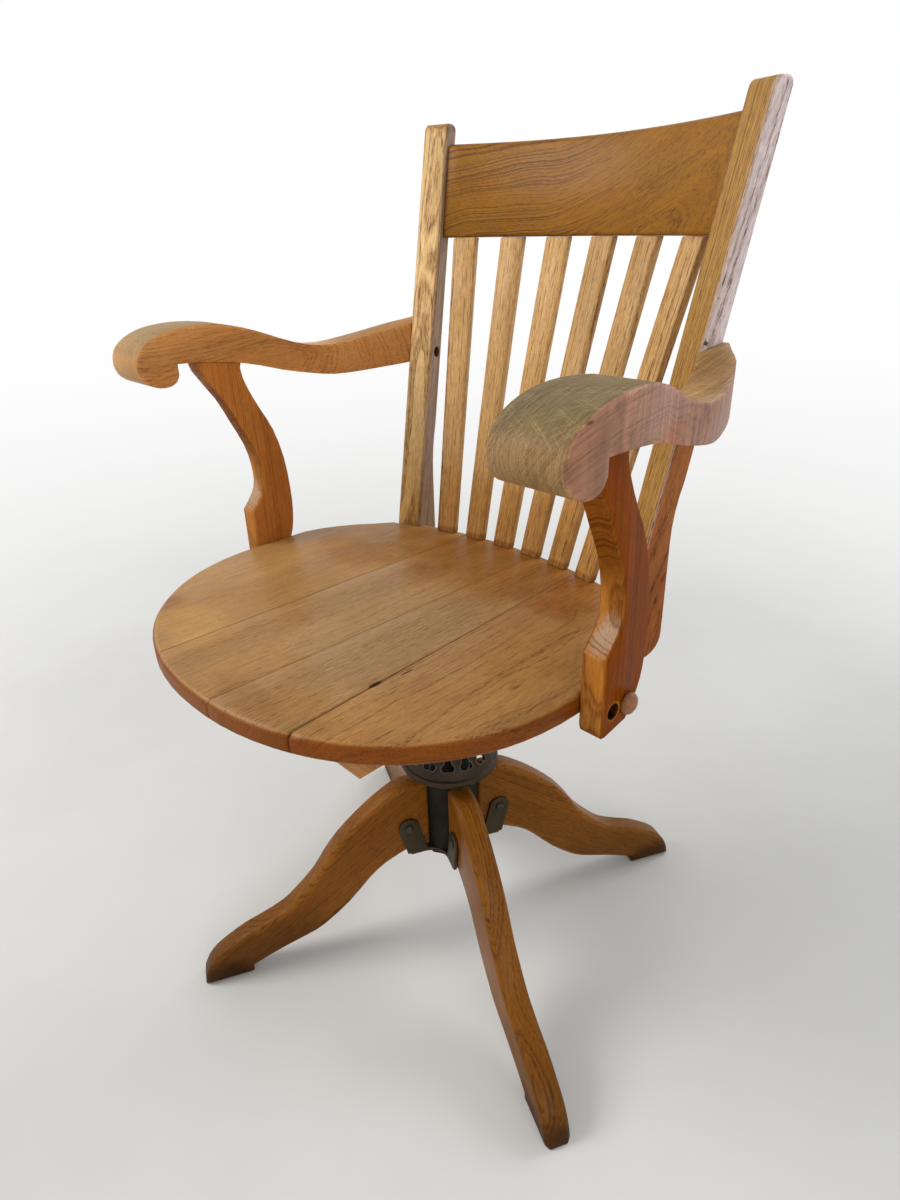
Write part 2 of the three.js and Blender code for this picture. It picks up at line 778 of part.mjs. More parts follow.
// Arm supports
function support(armGeometry) {
  const bottom = seatHeight - supportDrop;
  const height = seatHeight + armRise + armDepth / 2 - bottom;
  const place = ([across, up]) => [supportWidth * across - supportFront, bottom + height * up];
  const shape = new THREE.Shape();
  const [start, ...rise] = supportRearShares.map(place).reverse();
  shape.moveTo(...start);
  through(shape, rise);
  const [corner, shoulder, ...front] = supportFrontShares.map(place);
  const [last, ...down] = front.reverse();
  shape.lineTo(...last);
  through(shape, down);
  shape.lineTo(...shoulder);
  shape.lineTo(shoulder[0], corner[1] + (shoulder[1] - corner[1]) / 3);
  shape.quadraticCurveTo(shoulder[0], corner[1], corner[0], corner[1]);
  const blank = board(shape, supportThickness, supportRound).translate(seatHalfWidth + gap, 0, 0);
  const outside = seatHalfWidth + gap + supportThickness;
  const level = seatHeight - supportScrewDrop;
  const cutters = [armGeometry.clone().translate(0, 0, -gap)];
  for (const setback of [supportScrewSetback, plugSetback]) {
    const y = setback - supportFront;
    const hole = crossRod(screwRadius + gap, supportScrewReach, smallSides);
    cutters.push(hole.translate(outside - supportScrewReach, y, level));
    const bore = crossRod(setback === plugSetback ? plugRadius + gap : supportBoreRadius, plugDepth + overrun);
    cutters.push(bore.translate(outside - plugDepth, y, level));
  }
  return cut(blank, cutters);
}

// A turned plug with a bun head, over the screw behind it.
function plug() {
  const shank = plugDepth - screwHeadHeight - 2 * gap;
  const head = shank + gap;
  const crown = [Math.PI / 6, Math.PI / 3].map((turn) => [
    plugHeadRadius * Math.cos(turn),
    head + plugRimHeight + (plugHeadHeight - plugRimHeight) * Math.sin(turn),
  ]);
  const bun = turned(
    [
      [0, 0],
      [plugRadius, 0],
      [plugRadius, head],
      [plugHeadRadius, head],
      [plugHeadRadius, head + plugRimHeight],
      ...crown,
      [0, head + plugHeadHeight],
    ],
    roundSides,
  ).rotateY(Math.PI / 2);
  const outside = seatHalfWidth + gap + supportThickness;
  return bun.translate(outside - shank, plugSetback - supportFront, seatHeight - supportScrewDrop);
}

function supportScrew(setback) {
  const screw = woodScrew(supportScrewReach - plugDepth - gap).rotateY(Math.PI / 2);
  const start = seatHalfWidth + gap + supportThickness - plugDepth + gap;
  return screw.translate(start, setback - supportFront, seatHeight - supportScrewDrop);
}

function addSide(group, side) {
  const half = new THREE.Group();
  half.scale.x = side === "right" ? 1 : -1;
  const armGeometry = arm();
  const [open, plugged] = [supportScrewSetback, plugSetback];
  half.add(named(`arm_${side}`, armGeometry, wood(oak.arm)));
  half.add(named(`arm_support_${side}`, support(armGeometry), wood(oak.arm)));
  half.add(named(`arm_support_screw_front_${side}`, supportScrew(open), iron(metal.screw)));
  half.add(named(`arm_support_screw_rear_${side}`, supportScrew(plugged), iron(metal.screw)));
  half.add(named(`support_plug_${side}`, plug(), wood(oak.plug)));
  half.add(named(`post_${side}`, post().applyMatrix4(postFrame), wood(oak.back)));
  half.add(named(`post_screw_${side}`, postScrew(), iron(metal.screw)));
  half.add(named(`arm_screw_${side}`, armScrew(), iron(metal.screw)));
  group.add(half);
}

// Legs
function legOutline() {
  const place = ([out, up]) => [legReach * out, legHeight * up];
  const shape = new THREE.Shape();
  const root = hubRadius - tabThickness;
  shape.moveTo(root, plateTop + gap);
  shape.lineTo(root, legHeight);
  shape.lineTo(...place([legTopShares[0][0] - (legTopShares[1][0] - legTopShares[0][0]) / 2, 1]));
  through(shape, legTopShares.map(place));
  shape.lineTo(legReach * legToeShare, 0);
  shape.lineTo(legReach * legHeelShares[0], 0);
  shape.lineTo(...place(legHeelShares));
  through(shape, [...legBottomShares.map(place), [legRootLength, plateTop + gap]]);
  return shape;
}

function leg() {
  const blank = board(legOutline(), legThickness, legRound).translate(-legThickness / 2, 0, 0);
  const hub = rod(hubRadius + gap, legHeight, 0, ironSides);
  const screws = [1, -1].map((side) => tabScrewBar(side));
  return cut(blank.rotateZ(-Math.PI / 2), [hub, ...screws]);
}

// Middle of a tab's screw, in the frame of a leg that points along +X.
const tabScrewUp = tabHeight - tabScrewDrop;
const tabScrewOut = tabOutset + (tabLean * tabScrewUp) / tabHeight;

function tabScrewBar(side) {
  const start = legThickness / 2 - tabScrewLength;
  const bar = rod(screwRadius + gap, tabScrewLength + tabThickness + overrun, start, smallSides);
  return bar.rotateX((-side * Math.PI) / 2).translate(tabScrewOut, 0, plateTop + tabScrewUp);
}

function tabScrew(side) {
  const screw = woodScrew(tabScrewLength - gap).rotateX((-side * Math.PI) / 2);
  const face = legThickness / 2 + gap + tabThickness + gap;
  return screw.translate(tabScrewOut, side * face, plateTop + tabScrewUp);
}

// Hub
function hubCasing() {
  const bore = sleeveRadius + runningGap;
  const neckEnd = plateTop - plateThickness - hubNeckLength;
  return turned([
    [bore, neckEnd],
    [hubNeckRadius, neckEnd],
    [hubNeckRadius, plateTop + gap],
    [hubRadius, plateTop + gap],
    [hubRadius, hubTop],
    [bore, hubTop],
    [bore, neckEnd],
  ]);
}

// The bottom plate reaches under each leg and folds up on both of its sides.
function starPlate() {
  const half = legThickness / 2 + gap + tabThickness;
  const shape = new THREE.Shape();
  for (let arm = 0; arm < 4; arm++) {
    const turn = (x, y) => new THREE.Vector2(x, y).rotateAround(new THREE.Vector2(0, 0), (arm * Math.PI) / 2);
    const start = turn(legRootLength - plateTip, -half);
    if (arm) shape.lineTo(start.x, start.y);
    else shape.moveTo(start.x, start.y);
    const tip = turn(legRootLength - plateTip, half);
    shape.lineTo(tip.x, tip.y);
    const root = turn(plateHollow, half);
    shape.lineTo(root.x, root.y);
    const middle = turn(plateHollow, plateHollow);
    const from = Math.atan2(root.y - middle.y, root.x - middle.x);
    shape.absarc(middle.x, middle.y, plateHollow - half, from, from - Math.PI / 2, true);
  }
  const tabs = [0, 1, 2, 3].flatMap((arm) => [1, -1].map((side) => tab(side).rotateZ((arm * Math.PI) / 2)));
  const underside = plateTop - plateThickness;
  const neckHole = rod(hubNeckRadius + gap, plateThickness + 2 * overrun, underside - overrun, ironSides);
  const whole = joined([plate(shape, plateThickness, plateTop - plateThickness), ...tabs]);
  const screws = [0, 1, 2, 3].flatMap((arm) =>
    [1, -1].map((side) => tabScrewBar(side).rotateZ((arm * Math.PI) / 2)),
  );
  return cut(whole, [neckHole, ...screws]);
}

function tab(side) {
  const shape = new THREE.Shape();
  const [halfWidth, shoulder] = [tabWidth / 2, tabHeight - tabWidth / 2];
  const lean = (tabLean * shoulder) / tabHeight;
  shape.moveTo(tabOutset - halfWidth, -plateThickness / 2);
  shape.lineTo(tabOutset + halfWidth, -plateThickness / 2);
  shape.lineTo(tabOutset + lean + halfWidth, shoulder);
  shape.absarc(tabOutset + lean, shoulder, halfWidth, 0, Math.PI, false);
  const sheet = plate(shape, tabThickness, 0).rotateX(Math.PI / 2);
  const outer = legThickness / 2 + gap + tabThickness;
  return sheet.translate(0, side > 0 ? outer : gap - outer + tabThickness - gap, plateTop);
}

function baseNut() {
  const nut = rod(nutAcross / 2, nutThickness, 0, 6);
  const bore = rod(hubNeckRadius + gap, nutThickness + 2 * overrun, -overrun, ironSides);
  return cut(nut, [bore]).translate(0, 0, plateTop - plateThickness - gap - nutThickness);
}

function addBase(group) {
  group.add(named("hub_casing", hubCasing(), iron(metal.casting)));
  const cross = new THREE.Group();
  cross.rotation.z = legHeading;
  cross.add(named("star_plate", starPlate(), iron(metal.casting)));
  for (let place = 0; place < 4; place++) {
    const quarter = new THREE.Group();
    quarter.rotation.z = (place * Math.PI) / 2;
    quarter.add(named(`leg_${place + 1}`, leg(), wood(oak.leg)));
    [1, -1].forEach((side, which) => {
      const name = `tab_screw_${2 * place + which + 1}`;
      quarter.add(named(name, tabScrew(side), iron(metal.screw)));
    });
    cross.add(quarter);
  }
  group.add(cross);
  group.add(named("base_nut", baseNut(), iron(metal.casting)));
}

// Sleeve that turns in the hub, keyed to the spindle
function swivelSleeve() {
  const bottom = plateTop - plateThickness - hubNeckLength + gap;
  const bore = spindleRadius + runningGap;
  const flange = sleeveRadius + sleeveFlange;
  const level = hubTop + gap;
  const tube = turned([
    [bore, bottom],
    [sleeveRadius, bottom],
    [sleeveRadius, level],
    [flange, level],
    [flange, level + sleeveFlangeThickness],
    [bore, level + sleeveFlangeThickness],
    [bore, bottom],
  ]);
  const depth = keyDepth + runningGap;
  const height = level + sleeveFlangeThickness - bottom;
  const key = box(keyWidth - 2 * runningGap, depth, height);
  return joined([tube, key.translate(0, -bore - keyRoot + depth / 2, bottom + height / 2)]);
}

function ringPlate(inner, outer, thickness, level) {
  return turned([
    [inner, level],
    [outer, level],
    [outer, level + thickness],
    [inner, level + thickness],
    [inner, level],
  ]);
}

function spindle() {
  const bar = rod(spindleRadius, spindleTop - spindleTail, spindleTail, ironSides);
  const keyway = box(keyWidth, keyDepth + overrun, keyTop - spindleTail + overrun);
  const middle = (keyTop + spindleTail - overrun) / 2;
  return cut(bar, [keyway.translate(0, -spindleRadius + keyDepth - (keyDepth + overrun) / 2, middle)]);
}

// Handwheel: a threaded nut, and a ring with a rolled rim and a pierced band that leans in to the nut
function handwheel() {
  const bore = spindleRadius + runningGap;
  const rim = wheelBottom + wheelRimRise;
  const top = wheelBottom + wheelHeight;
  const bandFoot = [wheelRadius, rim];
  const bandTop = [wheelRadius - wheelDomeInset, rim + wheelDomeRise];
  const between = (share, bulge) =>
    [0, 1].map((axis) => bandFoot[axis] + (bandTop[axis] - bandFoot[axis]) * share + wheelBulge * bulge);
  const [bandLow, bandHigh] = [between(wheelPanelShare, 1), between(1 - wheelPanelShare, 1)];
  const inside = ([radius, level]) => [radius - wheelWall, level - wheelWall / 2];
  const band = turned(
    [
      [bore, wheelBottom],
      [wheelNutRadius, wheelBottom],
      [wheelNutRadius, bandTop[1] - 2 * wheelWall],
      inside(bandTop),
      inside(bandHigh),
      inside(bandLow),
      inside(bandFoot),
      bandFoot,
      bandLow,
      bandHigh,
      bandTop,
      [wheelNutRadius, bandTop[1] + wheelWall / 2],
      [wheelNutRadius, top],
      [bore, top],
      [bore, wheelBottom],
    ],
    2 * trefoilCount,
  );
  const roll = new THREE.TorusGeometry(wheelRadius, wheelRimRadius, smallSides, 2 * trefoilCount);
  roll.translate(0, 0, rim);
  const slope = Math.atan2(bandTop[0] - bandFoot[0], bandTop[1] - bandFoot[1]);
  const [panelRadius, panelLevel] = [0, 1].map((axis) => (bandLow[axis] + bandHigh[axis]) / 2);
  // Each hole stands in the middle of every second flat of the band.
  const holes = Array.from({ length: trefoilCount }, (_, place) => {
    const hole = trefoil().translate(-overrun, 0, 0).rotateY(slope).translate(panelRadius, 0, panelLevel);
    return hole.rotateZ((2 * Math.PI * (place + 1 / 4)) / trefoilCount);
  });
  return cut(joined([band, roll]), holes);
}

// Three holes that run together, pointing along +X.
function trefoil() {
  const bars = [0, 1, 2].map((lobe) => {
    const turn = Math.PI / 2 + (2 * Math.PI * lobe) / 3;
    const bar = crossRod(trefoilRadius, 2 * overrun, trefoilSides);
    return bar.translate(0, trefoilSpread * Math.cos(turn), trefoilSpread * Math.sin(turn));
  });
  return joined(bars);
}

function addSpindle(group) {
  group.add(named("swivel_sleeve", swivelSleeve(), iron(metal.bright)));
  const washer = ringPlate(spindleRadius + runningGap, sleeveRadius + sleeveFlange, washerThickness, washerBottom);
  group.add(named("thrust_washer", washer, iron(metal.bright)));
  group.add(named("screw_spindle", spindle(), iron(metal.screw)));
  group.add(named("handwheel", handwheel(), iron(metal.casting)));
  group.add(named("yoke", yoke(), iron(metal.casting)));
  const pinLength = barrelLength + 2 * (cheekGap + cheekThickness);
  const pin = crossRod(pivotRadius, pinLength).translate(-pinLength / 2, 0, pivotHeight);
  group.add(named("pivot_pin", pin, iron(metal.bright)));
}

// Yoke: a socket for the spindle, a cross barrel for the pivot pin and a forward arm for the spring
function yoke() {
  const bottom = pivotHeight - barrelRadius - yokeBossHeight;
  const boss = rod(yokeBossRadius, pivotHeight - bottom, bottom, ironSides);
  const barrel = crossRod(barrelRadius, barrelLength).translate(-barrelLength / 2, 0, pivotHeight);
  const arm = new THREE.Shape();
  const tip = yokeArmReach - yokeArmTipWidth / 2;
  arm.moveTo(-yokeArmRootWidth / 2, 0);
  arm.lineTo(-yokeArmTipWidth / 2, -tip);
  arm.absarc(0, -tip, yokeArmTipWidth / 2, Math.PI, 2 * Math.PI, false);
  arm.lineTo(yokeArmRootWidth / 2, 0);
  const web = box(yokeWebThickness, boltOutset - springRadius - 2 * boltRadius, yokeWebHeight + yokeArmThickness);
  const webMiddle = (boltOutset - springRadius - 2 * boltRadius) / 2;
  web.translate(0, -webMiddle, yokeArmTop - (yokeWebHeight + yokeArmThickness) / 2);
  const socket = rod(spindleRadius + gap, spindleTop + gap - bottom + overrun, bottom - overrun, ironSides);
  const pinHole = crossRod(pivotRadius + gap, barrelLength + 2 * overrun);
  pinHole.translate(-barrelLength / 2 - overrun, 0, pivotHeight);
  const slot = rod(1, yokeArmThickness + 2 * overrun, yokeArmUnderside - overrun);
  slot.scale(slotHalfWidth, slotHalfLength, 1).translate(0, -boltOutset, 0);
  const whole = joined([boss, barrel, plate(arm, yokeArmThickness, yokeArmUnderside), web]);
  return cut(whole, [socket, pinHole, slot]);
}

// Seat iron
const ironArms = [
  { x: -1, end: -ironArmEndFront },
  { x: 1, end: -ironArmEndFront },
  { x: -1, end: ironArmEndRear },
  { x: 1, end: ironArmEndRear },
];

function ironArmLine({ x, end }) {
  const start = new THREE.Vector2((x * ironHalfWidth) / 2, end > 0 ? ironRear / 2 : -ironFront / 2);
  return [start, new THREE.Vector2(x * ironArmEndX, end)];
}

function ironScrewPlaces() {
  return ironArms.map((arm) => {
    const [start, end] = ironArmLine(arm);
    const place = start.lerp(end, arm.end < 0 ? ironScrewFrontShare : ironScrewRearShare);
    return [place.x, place.y, 0];
  });
}

function ironArm(arm, width, thickness, level) {
  const [start, end] = ironArmLine(arm);
  const along = end.clone().sub(start);
  const bar = box(along.length(), width, thickness).rotateZ(along.angle());
  const middle = start.clone().add(end).multiplyScalar(1 / 2);
  return bar.translate(middle.x, middle.y, level + thickness / 2);
}

function cheek(side) {
  const shape = new THREE.Shape();
  const drop = pivotHeight - ironUnderside - ironThickness / 2;
  shape.moveTo(cheekRadius, -drop);
  shape.lineTo(-cheekRadius, -drop);
  shape.lineTo(-cheekRadius, 0);
  shape.absarc(0, 0, cheekRadius, Math.PI, 2 * Math.PI, false);
  const sheet = board(shape, cheekThickness).translate(barrelLength / 2 + cheekGap, 0, pivotHeight);
  return mirroredIf(side < 0, sheet);
}

function lug(side) {
  const shape = new THREE.Shape();
  const drop = boltPivot - ironUnderside - ironThickness / 2;
  shape.moveTo(boltEyeRadius, -drop);
  shape.lineTo(-boltEyeRadius, -drop);
  shape.lineTo(-boltEyeRadius, 0);
  shape.absarc(0, 0, boltEyeRadius, Math.PI, 2 * Math.PI, false);
  const sheet = board(shape, lugThickness).translate(boltEyeWidth / 2 + runningGap, -boltOutset, boltPivot);
  return mirroredIf(side < 0, sheet);
}

function seatIron() {
  const middle = box(2 * ironHalfWidth, ironFront + ironRear, ironThickness);
  middle.translate(0, (ironRear - ironFront) / 2, ironUnderside + ironThickness / 2);
  const arms = ironArms.flatMap((arm) => {
    const end = ironArmLine(arm)[1];
    const pad = rod(ironPadRadius, ironThickness, ironUnderside).translate(end.x, end.y, 0);
    return [ironArm(arm, ironArmWidth, ironThickness, ironUnderside), pad];
  });
  const stopHeight = ironUnderside + ironThickness / 2 - yokeArmTop - gap;
  const stop = box(stopWidth, stopLength, stopHeight).translate(0, -stopOutset, yokeArmTop + gap + stopHeight / 2);
  const pinHole = crossRod(pivotRadius + gap, 2 * ironHalfWidth + 2 * overrun);
  const boltHole = crossRod(boltPinRadius + gap, 2 * ironHalfWidth, smallSides);
  const screwHoles = ironScrewPlaces().map((place) =>
    rod(screwRadius + gap, ironThickness + 2 * overrun, ironUnderside - overrun).translate(...place),
  );
  const whole = joined([middle, ...arms, cheek(1), cheek(-1), lug(1), lug(-1), stop]);
  return cut(whole, [
    pinHole.translate(-ironHalfWidth - overrun, 0, pivotHeight),
    boltHole.translate(-ironHalfWidth, -boltOutset, boltPivot),
    ...screwHoles,
  ]);
}

// Battens
function batten({ from, to }) {
  const top = seatUnderside - gap;
  const bottom = seatUnderside - battenDrop;
  const inner = from < 0 ? to : from;
  const towards = from < 0 ? -1 : 1;
  const shape = outline(
    [
      [from, top],
      [from, bottom],
      [to, bottom],
      [to, top],
    ].flatMap(([y, z]) =>
      y === inner && z === bottom
        ? order(from < 0, [inner + towards * battenCut, bottom], [inner, bottom + battenCut])
        : [[y, z]],
    ),
  );
  const bar = board(shape, 2 * battenHalfLength).translate(-battenHalfLength, 0, 0);
  const slots = ironArms.map((arm) =>
    ironArm(arm, ironArmWidth + 2 * gap, ironThickness + gap + overrun, ironUnderside - gap),
  );
  const pads = ironArms.map((arm) => {
    const end = ironArmLine(arm)[1];
    return rod(ironPadRadius + gap, ironThickness + gap + overrun, ironUnderside - gap).translate(end.x, end.y, 0);
  });
  return cut(bar, [...slots, ...pads]);
}

const order = (forward, a, b) => (forward ? [a, b] : [b, a]);

// Tilt spring
function tensionBolt() {
  const eye = crossRod(boltEyeRadius, boltEyeWidth).translate(-boltEyeWidth / 2, 0, boltPivot);
  const bar = rod(boltRadius, boltLength, boltPivot - boltLength);
  const hole = crossRod(boltPinRadius + gap, boltEyeWidth + 2 * overrun, smallSides);
  const whole = cut(joined([eye, bar]), [hole.translate(-boltEyeWidth / 2 - overrun, 0, boltPivot)]);
  return whole.translate(0, -boltOutset, 0);
}

class Helix extends THREE.Curve {
  getPoint(t, target = new THREE.Vector3()) {
    const turn = 2 * Math.PI * springTurns * t;
    const rise = springLength - 2 * wireRadius;
    // The end turns lie close, as they do on a spring that is pressed flat.
    const eased = t - Math.sin(2 * Math.PI * t) / (4 * Math.PI);
    return target.set(springRadius * Math.cos(turn), springRadius * Math.sin(turn), rise * eased);
  }
}

function spring() {
  const wire = outline(
    Array.from({ length: wireSides }, (_, side) => {
      const turn = (2 * Math.PI * side) / wireSides;
      return [wireRadius * Math.cos(turn), wireRadius * Math.sin(turn)];
    }),
  );
  const steps = springTurns * 8;
  const coil = new THREE.ExtrudeGeometry(wire, { steps, extrudePath: new Helix() });
  return coil.translate(0, -boltOutset, springBottom + wireRadius);
}

// The least gap between the spring's turns, measured on points along the middle of its wire.
function springGap() {
  const count = springTurns * turnSamples;
  const points = Array.from({ length: count + 1 }, (_, i) => new Helix().getPoint(i / count));
  let least = Infinity;
  points.forEach((a, i) => {
    points.slice(i + turnSamples / 2).forEach((b) => {
      least = Math.min(least, a.distanceTo(b));
    });
  });
  return least - 2 * wireRadius;
}

function knob() {
  const shape = new THREE.Shape();
  const sides = 4 * knobLobes;
  for (let step = 0; step < sides; step++) {
    const turn = (2 * Math.PI * step) / sides;
    const radius = knobRadius * (1 - knobLobeDepthShare * (0.5 - 0.5 * Math.cos(knobLobes * turn)));
    if (step) shape.lineTo(radius * Math.cos(turn), radius * Math.sin(turn));
    else shape.moveTo(radius, 0);
  }
  const grip = plate(shape, knobHeight, knobTop - knobHeight, knobRound);
  const bore = rod(boltRadius + runningGap, knobHeight + 2 * overrun, knobTop - knobHeight - overrun);
  return cut(grip, [bore]).translate(0, -boltOutset, 0);
}

function addTilt(group) {
  group.add(named("seat_iron", seatIron(), iron(metal.casting)));
  group.add(named("seat_batten_front", batten(battenFront), wood(oak.hidden)));
  group.add(named("seat_batten_rear", batten(battenRear), wood(oak.hidden)));
  ironScrewPlaces().forEach((place, which) => {
    const screw = woodScrew(ironThickness + ironScrewLength / 2).rotateX(Math.PI);
    screw.translate(place[0], place[1], ironUnderside - gap);
    group.add(named(`iron_screw_${which + 1}`, screw, iron(metal.screw)));
  });
  group.add(named("tension_bolt", tensionBolt(), iron(metal.bright)));
  const pinLength = boltEyeWidth + 2 * (runningGap + lugThickness);
  const pin = crossRod(boltPinRadius, pinLength, smallSides).translate(-pinLength / 2, -boltOutset, boltPivot);
  group.add(named("bolt_pin", pin, iron(metal.bright)));
  group.add(named("tension_spring", spring(), iron(metal.bright)));
  const cup = ringPlate(boltRadius + runningGap, cupRadius, cupThickness, cupTop - cupThickness);
  group.add(named("spring_cup", cup.translate(0, -boltOutset, 0), iron(metal.screw)));
  group.add(named("tension_knob", knob(), iron(metal.casting)));
}

// Back
function addBack(group) {
  group.add(named("crest_rail", crestRail(), wood(oak.back)));
  for (let place = 0; place < slatCount; place++) {
    group.add(named(`slat_${place + 1}`, slat(place), wood(oak.back)));
  }
}

const chair = new THREE.Group();
addBase(chair);
addSpindle(chair);
addTilt(chair);
addSeat(chair);
addBack(chair);
addSide(chair, "right");
addSide(chair, "left");
console.log(`least gap between the turns of the spring: ${springGap().toFixed(2)} mm`);

export default chair;
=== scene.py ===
"""The bankers swivel chair over its frame: worn varnished oak, dark iron and a pale studio floor."""

import json
import math
from collections import namedtuple

import bmesh
import bpy
import numpy as np
from mathutils import Matrix, Vector
from mathutils.bvhtree import BVHTree

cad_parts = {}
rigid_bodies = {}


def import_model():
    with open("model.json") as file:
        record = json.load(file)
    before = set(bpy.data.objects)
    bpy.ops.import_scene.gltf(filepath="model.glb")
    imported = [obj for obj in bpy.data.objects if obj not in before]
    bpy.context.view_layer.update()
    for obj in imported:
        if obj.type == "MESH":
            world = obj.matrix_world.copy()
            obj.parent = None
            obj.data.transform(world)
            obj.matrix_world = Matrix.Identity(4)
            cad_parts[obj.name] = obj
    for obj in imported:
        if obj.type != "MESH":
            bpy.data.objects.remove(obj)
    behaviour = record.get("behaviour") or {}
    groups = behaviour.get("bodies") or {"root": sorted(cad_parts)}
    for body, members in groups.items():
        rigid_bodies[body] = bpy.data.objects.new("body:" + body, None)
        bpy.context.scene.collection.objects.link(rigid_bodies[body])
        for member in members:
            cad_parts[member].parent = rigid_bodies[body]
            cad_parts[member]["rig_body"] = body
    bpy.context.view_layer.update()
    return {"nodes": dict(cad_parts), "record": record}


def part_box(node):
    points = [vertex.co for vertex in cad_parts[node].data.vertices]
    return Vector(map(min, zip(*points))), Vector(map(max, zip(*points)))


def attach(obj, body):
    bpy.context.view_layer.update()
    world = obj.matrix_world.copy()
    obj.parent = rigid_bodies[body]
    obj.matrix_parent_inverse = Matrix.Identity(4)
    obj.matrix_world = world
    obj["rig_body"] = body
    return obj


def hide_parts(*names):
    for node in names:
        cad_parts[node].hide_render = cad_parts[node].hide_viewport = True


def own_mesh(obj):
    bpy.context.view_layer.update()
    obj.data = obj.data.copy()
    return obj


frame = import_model()
nodes = frame["nodes"]

MM = 0.001
UP = Vector((0, 0, 1))
# The front is -Y, and the side called right is +X, as it is to someone who looks at the front.
TOP, FRONT, RIGHT = (0, 0, 1), (0, -1, 0), (1, 0, 0)
SIDES = (("left", -1), ("right", 1))

# The chair's own measures that the looks need, in metres and degrees.
SEAT_TOP = 0.481
FIRST_LEG_HEADING = -25.4
SPRING_AXIS_Y = -95 * MM
YOKE_UNDERSIDE = 407.7 * MM
SPINDLE_PITCH = 6.35 * MM
BOLT_PITCH = 0.00175

# The photograph's camera: its angles in degrees, its place, and its lens in mm before a sensor 36 mm high.
CAMERA_HEADING, CAMERA_FALL, CAMERA_LEAN = 46.62, 25.94, -1.63
CAMERA_PLACE = (0.56098, -0.52101, 0.8308)
CAMERA_LENS, CAMERA_SENSOR = 23.418, 36.0


def photograph_camera():
    """A camera where the photograph was taken from, above the chair's front left corner."""
    heading, fall, lean = (math.radians(angle) for angle in (CAMERA_HEADING, CAMERA_FALL, CAMERA_LEAN))
    back = Vector((math.sin(heading) * math.cos(fall), -math.cos(heading) * math.cos(fall), math.sin(fall)))
    level = Vector((math.cos(heading), math.sin(heading), 0.0))
    upright = back.cross(level)
    right = math.cos(lean) * level + math.sin(lean) * upright
    up = -math.sin(lean) * level + math.cos(lean) * upright
    lens = bpy.data.cameras.new("photograph")
    lens.sensor_fit = "VERTICAL"
    lens.sensor_width = lens.sensor_height = CAMERA_SENSOR
    lens.lens = CAMERA_LENS
    camera = bpy.data.objects.new("photograph", lens)
    bpy.context.scene.collection.objects.link(camera)
    facing = Matrix((right, up, back)).transposed().to_4x4()
    camera.matrix_world = Matrix.Translation(CAMERA_PLACE) @ facing
    lens.clip_start, lens.clip_end = 0.01, 100.0
    bpy.context.scene.camera = camera


photograph_camera()


# Node work: small helpers that add a node, fill its sockets and give back its output.


def fill(tree, node, sockets):
    """Fills a node's sockets, each with a value or wired from another node."""
    for name, value in sockets.items():
        socket = node.inputs[name]
        if isinstance(value, bpy.types.NodeSocket):
            tree.links.new(value, socket)
        else:
            socket.default_value = value


def put(tree, kind, sockets=None, **settings):
    """A new node with its settings and its filled sockets."""
    made = tree.nodes.new(kind)
    for name, value in settings.items():
        setattr(made, name, value)
    fill(tree, made, sockets or {})
    return made


def sum_of(tree, operation, *values):
    """The result of a sum with numbers, such as ADD or MAXIMUM."""
    return put(tree, "ShaderNodeMath", dict(enumerate(values)), operation=operation).outputs[0]


def times(tree, first, second):
    return sum_of(tree, "MULTIPLY", first, second)


def vector_of(tree, operation, *values):
    """The result of a sum with vectors, which is a number for a length or a dot product."""
    made = put(tree, "ShaderNodeVectorMath", dict(enumerate(values)), operation=operation)
    return made.outputs["Value" if operation in ("LENGTH", "DOT_PRODUCT") else "Vector"]


def mixed(tree, share, first, second, blend="MIX"):
    """The first colour, with a share of the second mixed or multiplied in."""
    made = put(tree, "ShaderNodeMix", {0: share, 6: first, 7: second}, data_type="RGBA", blend_type=blend)
    return made.outputs[2]


def tinted(tree, share, look, tint):
    """A colour, with a share of it multiplied by a tint."""
    return mixed(tree, share, look, mixed(tree, 1.0, look, tint, "MULTIPLY"))


def spread(tree, value, low, high, to_low=0.0, to_high=1.0, kind="LINEAR"):
    """value taken from low..high to another range, and held at its ends."""
    sockets = {0: value, 1: low, 2: high, 3: to_low, 4: to_high}
    return put(tree, "ShaderNodeMapRange", sockets, clamp=True, interpolation_type=kind).outputs[0]


def object_place(tree):
    return put(tree, "ShaderNodeTexCoord").outputs["Object"]


def mapped(tree, place, **sockets):
    """Places turned, stretched or shifted."""
    return put(tree, "ShaderNodeMapping", {"Vector": place, **sockets}).outputs[0]


def noise(tree, place, stretch, detail=2.0, roughness=0.5, shift=0.0, turn=None):
    """Noise whose grains are 1/stretch metres long, with one stretch for all axes or one for each.
    turn is the degrees by which they lie aslant, seen from above."""
    if turn is not None:
        place = mapped(tree, place, Rotation=(0.0, 0.0, math.radians(turn)))
    scale = stretch if isinstance(stretch, tuple) else (stretch,) * 3
    stretched = mapped(tree, place, Scale=scale, Location=(shift,) * 3)
    sockets = {"Vector": stretched, "Scale": 1.0, "Detail": detail, "Roughness": roughness}
    return put(tree, "ShaderNodeTexNoise", sockets).outputs["Fac"]


def group(name, takes, gives):
    """An empty shader group, what its named inputs give, and the node that takes its outputs."""
    tree = bpy.data.node_groups.new(name, "ShaderNodeTree")
    for label, (kind, value) in takes.items():
        socket = tree.interface.new_socket(label, in_out="INPUT", socket_type=f"NodeSocket{kind}")
        if value is not None:
            socket.default_value = value
    for label, kind in gives.items():
        tree.interface.new_socket(label, in_out="OUTPUT", socket_type=f"NodeSocket{kind}")
    return tree, put(tree, "NodeGroupInput").outputs, put(tree, "NodeGroupOutput")


